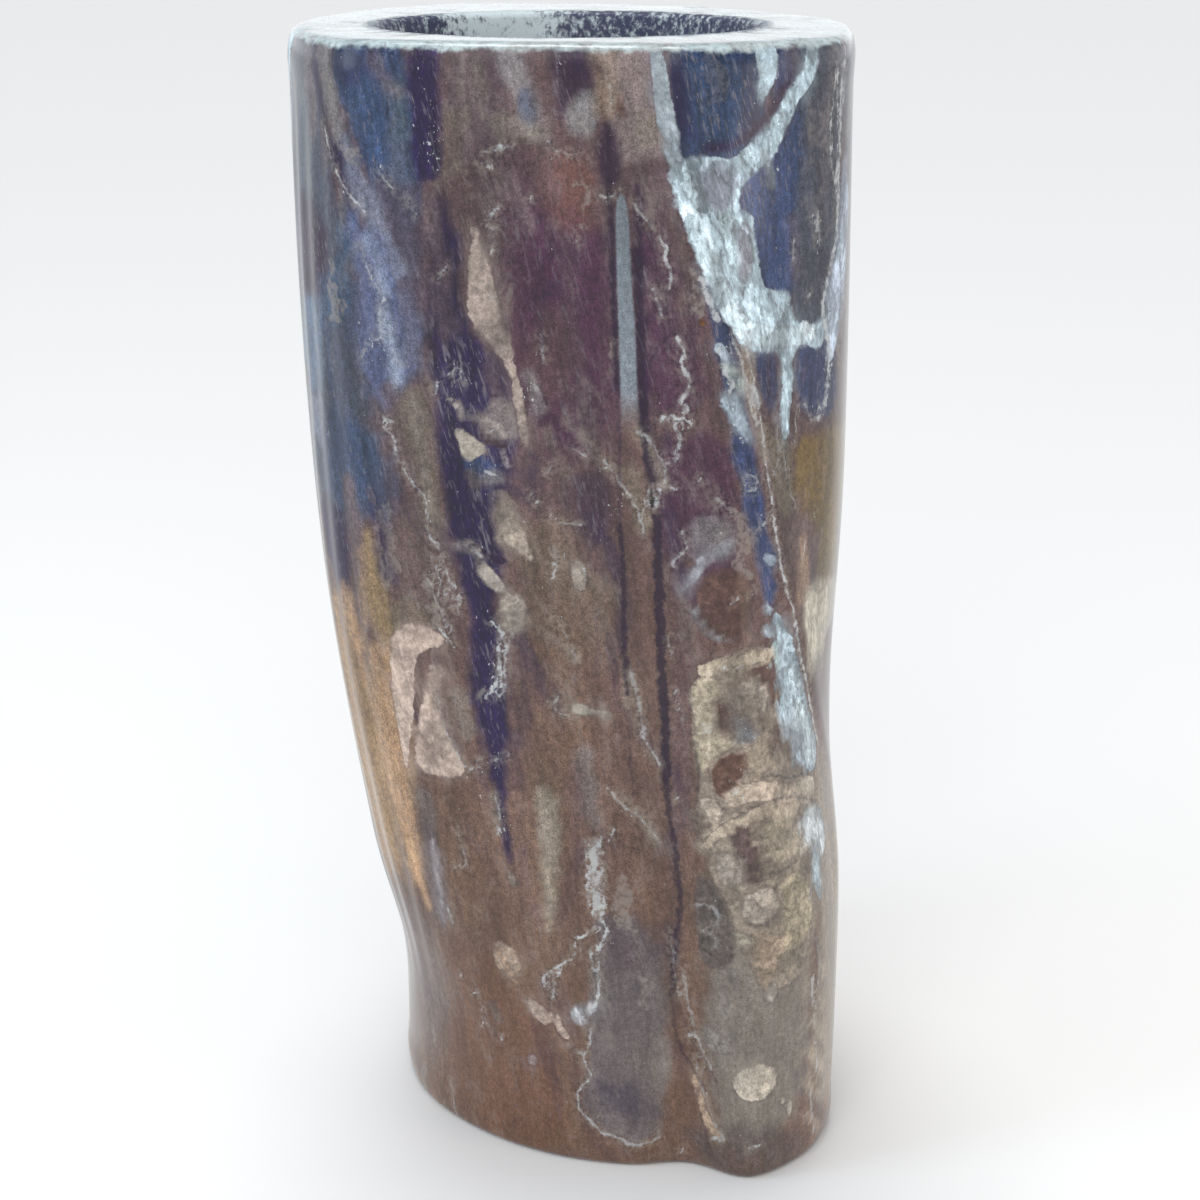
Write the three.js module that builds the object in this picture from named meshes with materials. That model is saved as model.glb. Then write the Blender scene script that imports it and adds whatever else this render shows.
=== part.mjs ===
// A tall floor vessel, sawn, hollowed and polished from one block of orthoceras
// limestone. Millimetres, +Z up, the front of the stone faces -Y. The origin is on
// the floor, under the middle of the stone.
//
// The stone keeps the uneven plan of the rock it was cut from. Its side surface is
// drawn through rails: lines that run from the foot to the rim along a ridge, a
// valley or a plain stretch of the surface. Every horizontal outline is one smooth
// closed curve through all the rails, so a ridge stays sharp where its rails are close.

import * as THREE from 'three';

// Driving dimensions
const HEIGHT = 500;
const FOOT_ROUND = 5;          // radius of the edge that meets the floor
const RIM_ROUND = 6;           // radius of the outer edge of the rim
const MOUTH_ROUND = 4;         // radius of the edge of the opening
const MOUTH_CENTRE = { x: -2, y: -5 };
const MOUTH_HALF = { x: 82, y: 74 };        // half of the opening's width and depth
const HOLLOW_TAPER = 12;       // how much narrower the hollow is at its floor, each side
const HOLLOW_FLOOR = 110;      // height of the hollow's floor above the ground
const HOLLOW_FLOOR_ROUND = 18;

// How finely the stone is divided
const COLUMNS_PER_RAIL = 4;
const SIDE_ROWS = 28;
const HOLLOW_ROWS = 8;
const EDGE_ROWS = 3;

// The rails, in order round the stone, anticlockwise seen from above. Each point of
// a rail is [height, x, y].
const RAILS = {
  frontRightCorner: [[0, 121, -60], [100, 122, -52], [175, 118, -46], [300, 114, -70], [400, 112, -76], [500, 110, -79]],
  rightForward: [[0, 121, -36], [100, 119, -30], [175, 117, -28], [300, 122, -34], [500, 121, -30]],
  right: [[0, 117, -8], [120, 115, -2], [230, 120, 2], [310, 122, 4], [500, 122, 5]],
  rightBack: [[0, 108, 22], [250, 112, 31], [500, 115, 36]],
  backRight: [[0, 90, 54], [250, 93, 63], [500, 93, 69]],
  backRightInner: [[0, 60, 78], [250, 60, 94], [500, 60, 105]],
  backMiddle: [[0, 26, 90], [250, 22, 108], [500, 18, 121]],
  back: [[0, -10, 92], [250, -17, 113], [500, -25, 131]],
  backLeft: [[0, -40, 78], [250, -54, 102], [500, -68, 124]],
  backLeftOuter: [[0, -62, 56], [120, -69, 62], [250, -82, 70], [500, -102, 82]],
  leftBack: [[0, -78, 27], [70, -79, 27], [250, -104, 28], [500, -121, 30]],
  left: [[0, -83, -5], [45, -82.5, -6], [70, -84, -6], [110, -93, -7], [190, -104, -9],
    [270, -114, -10], [345, -120, -10], [430, -123.5, -10], [500, -124, -10]],
  leftForward: [[0, -79, -34], [50, -79, -34], [78, -81, -37], [130, -92, -45], [250, -108, -56],
    [380, -113, -60], [500, -112, -61]],
  frontLeftOuter: [[0, -68, -61], [55, -68, -61], [82, -70, -65], [150, -81, -74], [250, -90, -83],
    [380, -94, -88], [500, -92, -91]],
  frontLeft: [[0, -42, -91], [55, -43, -91], [82, -45, -93], [150, -50, -97], [250, -54, -101],
    [380, -54, -104], [500, -52, -104]],
  leftLobe: [[0, -10, -111], [60, -11, -110], [150, -14, -109], [250, -14, -109], [380, -12, -109], [500, -10, -109]],
  leftLobeInner: [[0, 26, -120], [60, 24, -118], [150, 20, -115], [250, 17, -114], [380, 14, -113], [500, 12, -112]],
  valley: [[0, 51, -118], [60, 49, -117], [157, 43, -115], [226, 39, -114.5], [289, 35, -114], [400, 29, -113.5],
    [500, 24, -113]],
  rightLobe: [[0, 79, -131], [100, 81, -129], [175, 80, -123], [250, 70, -118], [325, 58, -117.5], [400, 44, -117.5],
    [500, 31, -115.5]],
  rightLobeOuter: [[0, 106, -111], [60, 107, -110], [120, 107, -106], [175, 105, -94], [220, 97, -97],
    [270, 87, -105], [325, 71, -114], [400, 51, -120], [500, 37, -118]],
  ridge: [[0, 118, -86], [60, 119, -86], [120, 118, -82], [175, 115.5, -68], [210, 108, -82], [249, 99, -97],
    [287, 89, -106], [324, 79, -113], [372, 66, -119], [413, 54, -121], [461, 46, -120], [500, 43, -118.5]],
  rightFacet: [[0, 120.5, -73], [120, 122, -67], [175, 117.5, -57], [230, 109, -78], [300, 99, -93], [372, 85, -106],
    [440, 76, -109], [500, 74, -109]],
};

// The stone's side surface

// The value of a rail's knots at one height, on a smooth curve through them all
function alongRail(knots, height, part) {
  const last = knots.length - 1;
  let i = 0;
  while (i < last - 1 && height > knots[i + 1][0]) {
    i += 1;
  }
  const slope = (k) => {
    const from = knots[Math.max(k - 1, 0)];
    const to = knots[Math.min(k + 1, last)];
    return (to[part] - from[part]) / (to[0] - from[0]);
  };
  const [low, high] = [knots[i], knots[i + 1]];
  const span = high[0] - low[0];
  const t = (height - low[0]) / span;
  const rise = t * t * (3 - 2 * t);
  return low[part] * (1 - rise) + high[part] * rise
    + span * (t * (1 - t) * (1 - t) * slope(i) - t * t * (1 - t) * slope(i + 1));
}

// The closed outline at one height, with the same number of points between each two rails
function outlineAt(height) {
  const points = Object.values(RAILS).map((knots) => new THREE.Vector3(
    alongRail(knots, height, 1), alongRail(knots, height, 2), height));
  const curve = new THREE.CatmullRomCurve3(points, true, 'centripetal');
  const count = points.length * COLUMNS_PER_RAIL;
  return Array.from({ length: count }, (_, k) => curve.getPoint(k / count));
}

// The outline moved inwards, square to itself
function inset(outline, distance) {
  const count = outline.length;
  return outline.map((point, k) => {
    const before = outline[(k + count - 1) % count];
    const after = outline[(k + 1) % count];
    const inward = new THREE.Vector3(before.y - after.y, after.x - before.x, 0).normalize();
    return point.clone().addScaledVector(inward, distance);
  });
}

// Rings of a rounded edge: the outline drawn in as it runs up or down to a flat face
function roundedEdge(faceHeight, radius, side) {
  const rings = [];
  for (let k = 0; k <= EDGE_ROWS; k += 1) {
    const turn = (Math.PI / 2) * (k / EDGE_ROWS);
    const height = faceHeight + side * radius * (1 - Math.sin(turn));
    const ring = inset(outlineAt(height), radius * (1 - Math.cos(turn)));
    ring.forEach((point) => { point.z = height; });
    rings.push(ring);
  }
  return rings;
}

// The hollow

function hollowRing(height, narrower) {
  const count = Object.keys(RAILS).length * COLUMNS_PER_RAIL;
  const rim = outlineAt(HEIGHT);
  return Array.from({ length: count }, (_, k) => {
    const angle = Math.atan2(rim[k].y - MOUTH_CENTRE.y, rim[k].x - MOUTH_CENTRE.x);
    return new THREE.Vector3(
      MOUTH_CENTRE.x + (MOUTH_HALF.x - narrower) * Math.cos(angle),
      MOUTH_CENTRE.y + (MOUTH_HALF.y - narrower) * Math.sin(angle),
      height);
  });
}

function hollowRings() {
  const rings = [];
  for (let k = 0; k <= EDGE_ROWS; k += 1) {
    const turn = (Math.PI / 2) * (k / EDGE_ROWS);
    rings.push(hollowRing(HEIGHT - MOUTH_ROUND * (1 - Math.cos(turn)), -MOUTH_ROUND * (1 - Math.sin(turn))));
  }
  const top = HEIGHT - MOUTH_ROUND;
  const bottom = HOLLOW_FLOOR + HOLLOW_FLOOR_ROUND;
  for (let k = 1; k <= HOLLOW_ROWS; k += 1) {
    const share = k / HOLLOW_ROWS;
    rings.push(hollowRing(top + (bottom - top) * share, HOLLOW_TAPER * share));
  }
  for (let k = 1; k <= EDGE_ROWS; k += 1) {
    const turn = (Math.PI / 2) * (k / EDGE_ROWS);
    rings.push(hollowRing(
      bottom - HOLLOW_FLOOR_ROUND * Math.sin(turn),
      HOLLOW_TAPER + HOLLOW_FLOOR_ROUND * (1 - Math.cos(turn))));
  }
  return rings;
}

// The closed skin

// All rings in order, from the middle of the foot, up the side and down into the hollow
function allRings() {
  const rings = [...roundedEdge(0, FOOT_ROUND, 1).reverse()];
  for (let k = 1; k < SIDE_ROWS; k += 1) {
    rings.push(outlineAt(FOOT_ROUND + (HEIGHT - FOOT_ROUND - RIM_ROUND) * (k / SIDE_ROWS)));
  }
  rings.push(...roundedEdge(HEIGHT, RIM_ROUND, -1));
  rings.push(...hollowRings());
  return rings;
}

function skinGeometry() {
  const rings = allRings();
  const count = rings[0].length;
  const positions = rings.flat().flatMap((point) => [point.x, point.y, point.z]);
  const indices = [];
  for (let row = 0; row < rings.length - 1; row += 1) {
    for (let k = 0; k < count; k += 1) {
      const [a, b] = [row * count + k, row * count + ((k + 1) % count)];
      const [c, d] = [a + count, b + count];
      indices.push(a, b, d, a, d, c);
    }
  }
  const footMiddle = positions.length / 3;
  positions.push(0, 0, 0, MOUTH_CENTRE.x, MOUTH_CENTRE.y, HOLLOW_FLOOR);
  const hollowMiddle = footMiddle + 1;
  const lastRow = (rings.length - 1) * count;
  for (let k = 0; k < count; k += 1) {
    const next = (k + 1) % count;
    indices.push(footMiddle, next, k);
    indices.push(hollowMiddle, lastRow + k, lastRow + next);
  }
  const geometry = new THREE.BufferGeometry();
  geometry.setAttribute('position', new THREE.Float32BufferAttribute(positions, 3));
  geometry.setIndex(indices);
  geometry.computeVertexNormals();
  return geometry;
}

function stoneVessel() {
  const stone = new THREE.MeshStandardMaterial({ color: 0x6b5a60, roughness: 0.2, metalness: 0 });
  const vessel = new THREE.Mesh(skinGeometry(), stone);
  vessel.name = 'fossil_stone_vessel';
  return vessel;
}

const model = new THREE.Group();
model.add(stoneVessel());

export default model;
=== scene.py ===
# Some of these colours are painted light: reflections, glare, glints and shade.
# A tall floor vessel, cut and hollowed from one block of orthoceras limestone and
# polished. The CAD node gives the shape. This script refines its skin, adds the shallow
# relief of the polished stone, and draws the veins, fossils and colours of the rock.
#
# A place on the skin is (angle, run). The angle is in degrees from the front (-Y),
# growing towards +X. The run is in mm: it is the height on the side, and it goes on
# growing over the rim and down into the hollow.

import math
from types import SimpleNamespace

import bpy
import numpy as np
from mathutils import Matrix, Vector, noise


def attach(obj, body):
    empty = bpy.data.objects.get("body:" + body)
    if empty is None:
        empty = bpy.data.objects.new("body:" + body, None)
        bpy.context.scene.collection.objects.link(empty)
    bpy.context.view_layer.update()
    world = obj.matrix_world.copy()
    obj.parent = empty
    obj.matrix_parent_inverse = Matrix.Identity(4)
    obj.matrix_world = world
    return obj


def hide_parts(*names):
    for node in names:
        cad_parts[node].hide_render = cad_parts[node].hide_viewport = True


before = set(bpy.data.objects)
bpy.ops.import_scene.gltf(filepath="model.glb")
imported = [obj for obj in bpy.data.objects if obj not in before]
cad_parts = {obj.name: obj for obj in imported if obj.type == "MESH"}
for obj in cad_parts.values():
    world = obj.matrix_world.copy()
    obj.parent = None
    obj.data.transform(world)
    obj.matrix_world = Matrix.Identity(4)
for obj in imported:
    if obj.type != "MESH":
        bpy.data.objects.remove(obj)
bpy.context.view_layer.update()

NODE = "fossil_stone_vessel"
MM = 0.001
COLUMNS = 88                   # columns of the CAD skin
EDGE_HEIGHT = 494.0            # height in mm where the rounding of the rim starts
HOLLOW_CENTRE = (-2.0, -5.0)
HOLLOW_HALF = (86.0, 78.0)     # half of the opening, with its rounded edge
FLAT_MIDDLE = 0.3              # share of the opening; only the middles of the flat faces are nearer in
OUTSIDE_RUN = 530              # run in mm where the rim ends and the hollow starts

FRONT_SPACING = 1.8            # mm between columns in front
BACK_SPACING = 3.4             # and behind
ROW_SPACING = 2.2              # mm between rows outside
HOLLOW_SPACING = 8.0           # mm between rows on the flat faces and deep in the hollow
DEEP_HOLLOW = 60               # mm past the rim's rounding where those wide rows start

SHEEN = 0.028                  # what the polish adds to every colour, as a linear value
BRIGHTNESS = 1.14              # what the lights multiply every colour by


# ---------------------------------------------------------------- the CAD skin

def node_points(node):
    """The CAD node's vertices in mm, each place once."""
    mesh = node.data
    flat = np.empty(len(mesh.vertices) * 3)
    mesh.vertices.foreach_get("co", flat)
    return np.unique(np.round(flat.reshape(-1, 3) / MM, 2), axis=0)


def levels(points):
    """The points in groups of one height each, lowest first."""
    points = points[np.argsort(points[:, 2], kind="stable")]
    cuts = np.flatnonzero(np.diff(points[:, 2]) > 0.05) + 1
    return np.split(points, cuts)


def hollow_measure(points):
    """1 on the edge of the opening, less inside it and more outside."""
    across = (points[:, 0] - HOLLOW_CENTRE[0]) / HOLLOW_HALF[0]
    along = (points[:, 1] - HOLLOW_CENTRE[1]) / HOLLOW_HALF[1]
    return np.hypot(across, along)


def in_order(ring, before):
    """The ring anticlockwise from above, starting next to where the ring before starts."""
    centre = ring.mean(0)
    ring = ring[np.argsort(np.arctan2(ring[:, 1] - centre[1], ring[:, 0] - centre[0]))]
    if before is None:
        return ring
    misfit = [np.square((np.roll(ring, -k, 0) - before)[:, :2]).sum() for k in range(len(ring))]
    return np.roll(ring, -int(np.argmin(misfit)), 0)


def cad_rings(node):
    """The skin's rings, from the foot up the side, over the rim and down the hollow."""
    side, hollow = [], []
    for level in levels(node_points(node)):
        level = level[hollow_measure(level) > FLAT_MIDDLE]
        inside = hollow_measure(level) < 1.02
        if len(level) > COLUMNS * 1.5:
            side.append(level[~inside])
            hollow.append(level[inside])
        elif hollow_measure(level).mean() < 1.02:
            hollow.append(level)
        else:
            side.append(level)
    rings = []
    for ring in side + hollow[::-1]:
        if len(ring) != COLUMNS:
            raise RuntimeError(f"a ring of the CAD skin has {len(ring)} points")
        rings.append(in_order(ring, rings[-1] if rings else None))
    return np.array(rings)


# ---------------------------------------------------------------- the fine skin

def hermite(values, knots, at):
    """The smooth curve through values at their knots, read at the places in at."""
    step = np.diff(knots)
    slope = np.diff(values, axis=0) / step[:, None]
    tangent = np.empty_like(values)
    tangent[0], tangent[-1] = slope[0], slope[-1]
    before, after = step[:-1, None], step[1:, None]
    tangent[1:-1] = (slope[1:] * before + slope[:-1] * after) / (before + after)
    k = np.clip(np.searchsorted(knots, at, side="right") - 1, 0, len(step) - 1)
    h = step[k][:, None]
    t = ((at - knots[k]) / step[k])[:, None]
    return ((1 + 2 * t) * (1 - t) ** 2 * values[k] + t * (1 - t) ** 2 * h * tangent[k]
            + t * t * (3 - 2 * t) * values[k + 1] - t * t * (1 - t) * h * tangent[k + 1])


def finer_columns(rings):
    """Each ring with more points, close together in front and wider apart behind."""
    gap = np.linalg.norm(np.roll(rings, -1, 1) - rings, axis=2).mean(0)
    middle = (rings + np.roll(rings, -1, 1)).mean(0) / 2
    spacing = np.where(middle[:, 1] < 10, FRONT_SPACING, BACK_SPACING)
    parts = np.maximum(1, np.round(gap / spacing)).astype(int)
    fine = []
    for ring in rings:
        wrapped = np.concatenate([ring[-3:], ring, ring[:4]])
        knots = np.concatenate([[0], np.cumsum(np.linalg.norm(np.diff(wrapped, axis=0), axis=1))])
        at = np.concatenate([knots[3 + k] + (knots[4 + k] - knots[3 + k]) * np.arange(n) / n
                             for k, n in enumerate(parts)])
        fine.append(hermite(wrapped, knots, at))
    return np.array(fine)


def finer_rows(rings):
    """More rings between the CAD's rings, and the run of every ring."""
    gap = np.linalg.norm(np.diff(rings, axis=0), axis=2).mean(1)
    knots = np.concatenate([[0], np.cumsum(gap)])
    top = int(np.argmin(np.abs(rings[:, 0, 2] - EDGE_HEIGHT)))
    at = []
    for k, length in enumerate(gap):
        flat = abs(rings[k, 0, 2] - rings[k + 1, 0, 2]) < 0.02
        deep = knots[k] > knots[top] + DEEP_HOLLOW
        spacing = HOLLOW_SPACING if flat or deep else ROW_SPACING
        count = max(2, round(length / spacing))
        at.append(knots[k] + length * np.arange(count) / count)
    at = np.concatenate(at + [knots[-1:]])
    flat = rings.reshape(len(rings), -1)
    fine = hermite(flat, knots, at).reshape(len(at), -1, 3)
    fine[..., 2] = np.clip(fine[..., 2], 0, rings[..., 2].max())
    run = np.where(at <= knots[top], fine[:, 0, 2], EDGE_HEIGHT + at - knots[top])
    return fine, run


coarse = cad_rings(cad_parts[NODE])
rings, run_of_row = finer_rows(finer_columns(coarse))
rows, columns = rings.shape[:2]


def outward(rings):
    """The normal of the skin at every point."""
    along = np.roll(rings, -1, 1) - np.roll(rings, 1, 1)
    up = np.gradient(rings, axis=0)
    normal = np.cross(along, up)
    return normal / np.maximum(np.linalg.norm(normal, axis=2, keepdims=True), 1e-9)


normals = outward(rings)
places = rings.reshape(-1, 3)
angles = np.degrees(np.arctan2(rings[..., 0], -rings[..., 1]))
angle = angles.ravel()
run = np.repeat(run_of_row, columns)
outer = run < OUTSIDE_RUN


def on_skin(spots):
    """The points in mm of the skin at a list of (angle, run)."""
    found = []
    for turn, height in spots:
        row = np.interp(height, run_of_row, np.arange(rows))
        low = min(int(row), rows - 2)
        pair = []
        for ring, ring_angle in zip(rings[low:low + 2], angles[low:low + 2]):
            order = np.argsort(ring_angle)
            pair.append([np.interp(turn, ring_angle[order], ring[order, part], period=360)
                         for part in range(3)])
        found.append(np.array(pair[0]) * (1 - row + low) + np.array(pair[1]) * (row - low))
    return np.array(found)


# ---------------------------------------------------------------- drawing on the skin

def rounded(spots, closed, times=2):
    """The line with its corners cut, so that it bends smoothly."""
    line = np.array(spots, float)
    for _ in range(times if len(line) > 2 else 0):
        follow = np.roll(line, -1, 0) if closed else line[1:]
        start = line if closed else line[:-1]
        cut = np.stack([start * 0.75 + follow * 0.25, start * 0.25 + follow * 0.75], 1).reshape(-1, 2)
        line = cut if closed else np.concatenate([line[:1], cut[1:-1], line[-1:]])
    return line


def nearest(points, line):
    """For each point, the vector to the nearest place on the line, and its length."""
    start, step = line[:-1], np.diff(line, axis=0)
    size = np.maximum((step ** 2).sum(1), 1e-9)
    offset = points[:, None] - start[None]
    share = np.clip((offset * step[None]).sum(2) / size, 0, 1)
    towards = share[..., None] * step[None] - offset
    length = np.linalg.norm(towards, axis=2)
    best = length.argmin(1)
    index = np.arange(len(points))
    return towards[index, best], length[index, best]


def within(line, turn, height):
    """Which places are inside the closed line."""
    inside = np.zeros(len(turn), bool)
    for (x0, y0), (x1, y1) in zip(line, np.roll(line, -1, 0)):
        crosses = (y0 > height) != (y1 > height)
        rise = y1 - y0 if y1 != y0 else 1e-9
        inside ^= crosses & (turn < (x1 - x0) * (height - y0) / rise + x0)
    return inside


def close_by(points, reach):
    """The indices of the outer skin's points in the box round some points."""
    low, high = points.min(0) - reach, points.max(0) + reach
    return np.flatnonzero(outer & np.all((places > low) & (places < high), axis=1))


def edge_distance(spots, reach=14.0, times=2):
    """Indices near a closed outline, and the distance inside it, negative outside."""
    line = rounded(spots, True, times)
    solid = on_skin(np.concatenate([line, line[:1]]))
    index = close_by(solid, reach)
    length = nearest(places[index], solid)[1]
    turn = (angle[index] - line[:, 0].mean() + 180) % 360 - 180 + line[:, 0].mean()
    return index, np.where(within(line, turn, run[index]), length, -length)


def band_distance(spots, width, reach):
    """Indices near a line, and the distance inside a band of that width along it."""
    solid = on_skin(rounded(spots, False))
    index = close_by(solid, reach)
    return index, width / 2 - nearest(places[index], solid)[1]


def linear(red, green, blue):
    """A colour given in sRGB steps of 0 to 255, as linear values."""
    share = np.array([red, green, blue]) / 255
    return np.where(share < 0.04045, share / 12.92, ((share + 0.055) / 1.055) ** 2.4)


def stone(red, green, blue):
    """The stone's own colour, so that with the sheen of the studio on it, it shows as given."""
    return np.maximum((linear(red, green, blue) - SHEEN) / BRIGHTNESS, 0.003)


def smooth(low, high, value):
    """0 below low, 1 above high, and a smooth rise between them."""
    share = np.clip((value - low) / (high - low), 0, 1)
    return share * share * (3 - 2 * share)


# ---------------------------------------------------------------- the colours of the rock

PURPLE_BROWN = (77, 53, 74)
BROWN = (98, 81, 84)
DARK_BROWN = (82, 68, 76)
WARM_BROWN = (108, 90, 92)
LOW_BROWN = (116, 95, 84)
MAUVE = (112, 98, 102)
DEEP = (62, 48, 68)
NIGHT = (57, 51, 78)
NAVY = (66, 76, 106)
DUSK_BLUE = (72, 86, 120)
SLATE = (64, 78, 104)
STEEL = (90, 108, 128)
TEAL = (90, 106, 116)
BLUE_GREY = (80, 90, 108)
LAVENDER = (92, 101, 132)
GREY = (110, 105, 108)
STONE_GREY = (132, 127, 120)
PALE_GREY = (136, 134, 136)
GOLD = (144, 122, 94)
PEACH = (174, 144, 118)
PINK_GREY = (142, 128, 128)
BEIGE = (142, 132, 122)
CALCITE = (172, 190, 200)
SHELL = (154, 148, 138)
PINK_SHELL = (174, 157, 146)
TAN = (136, 128, 120)
RUST = (88, 62, 54)
OCHRE = (110, 96, 84)
OLIVE = (116, 107, 94)
# painted reflection: the blue-grey of the rod's upper part, a cool surround mirrored in its polished face
ROD_REFLECTED_BLUE = (128, 138, 147)
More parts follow.
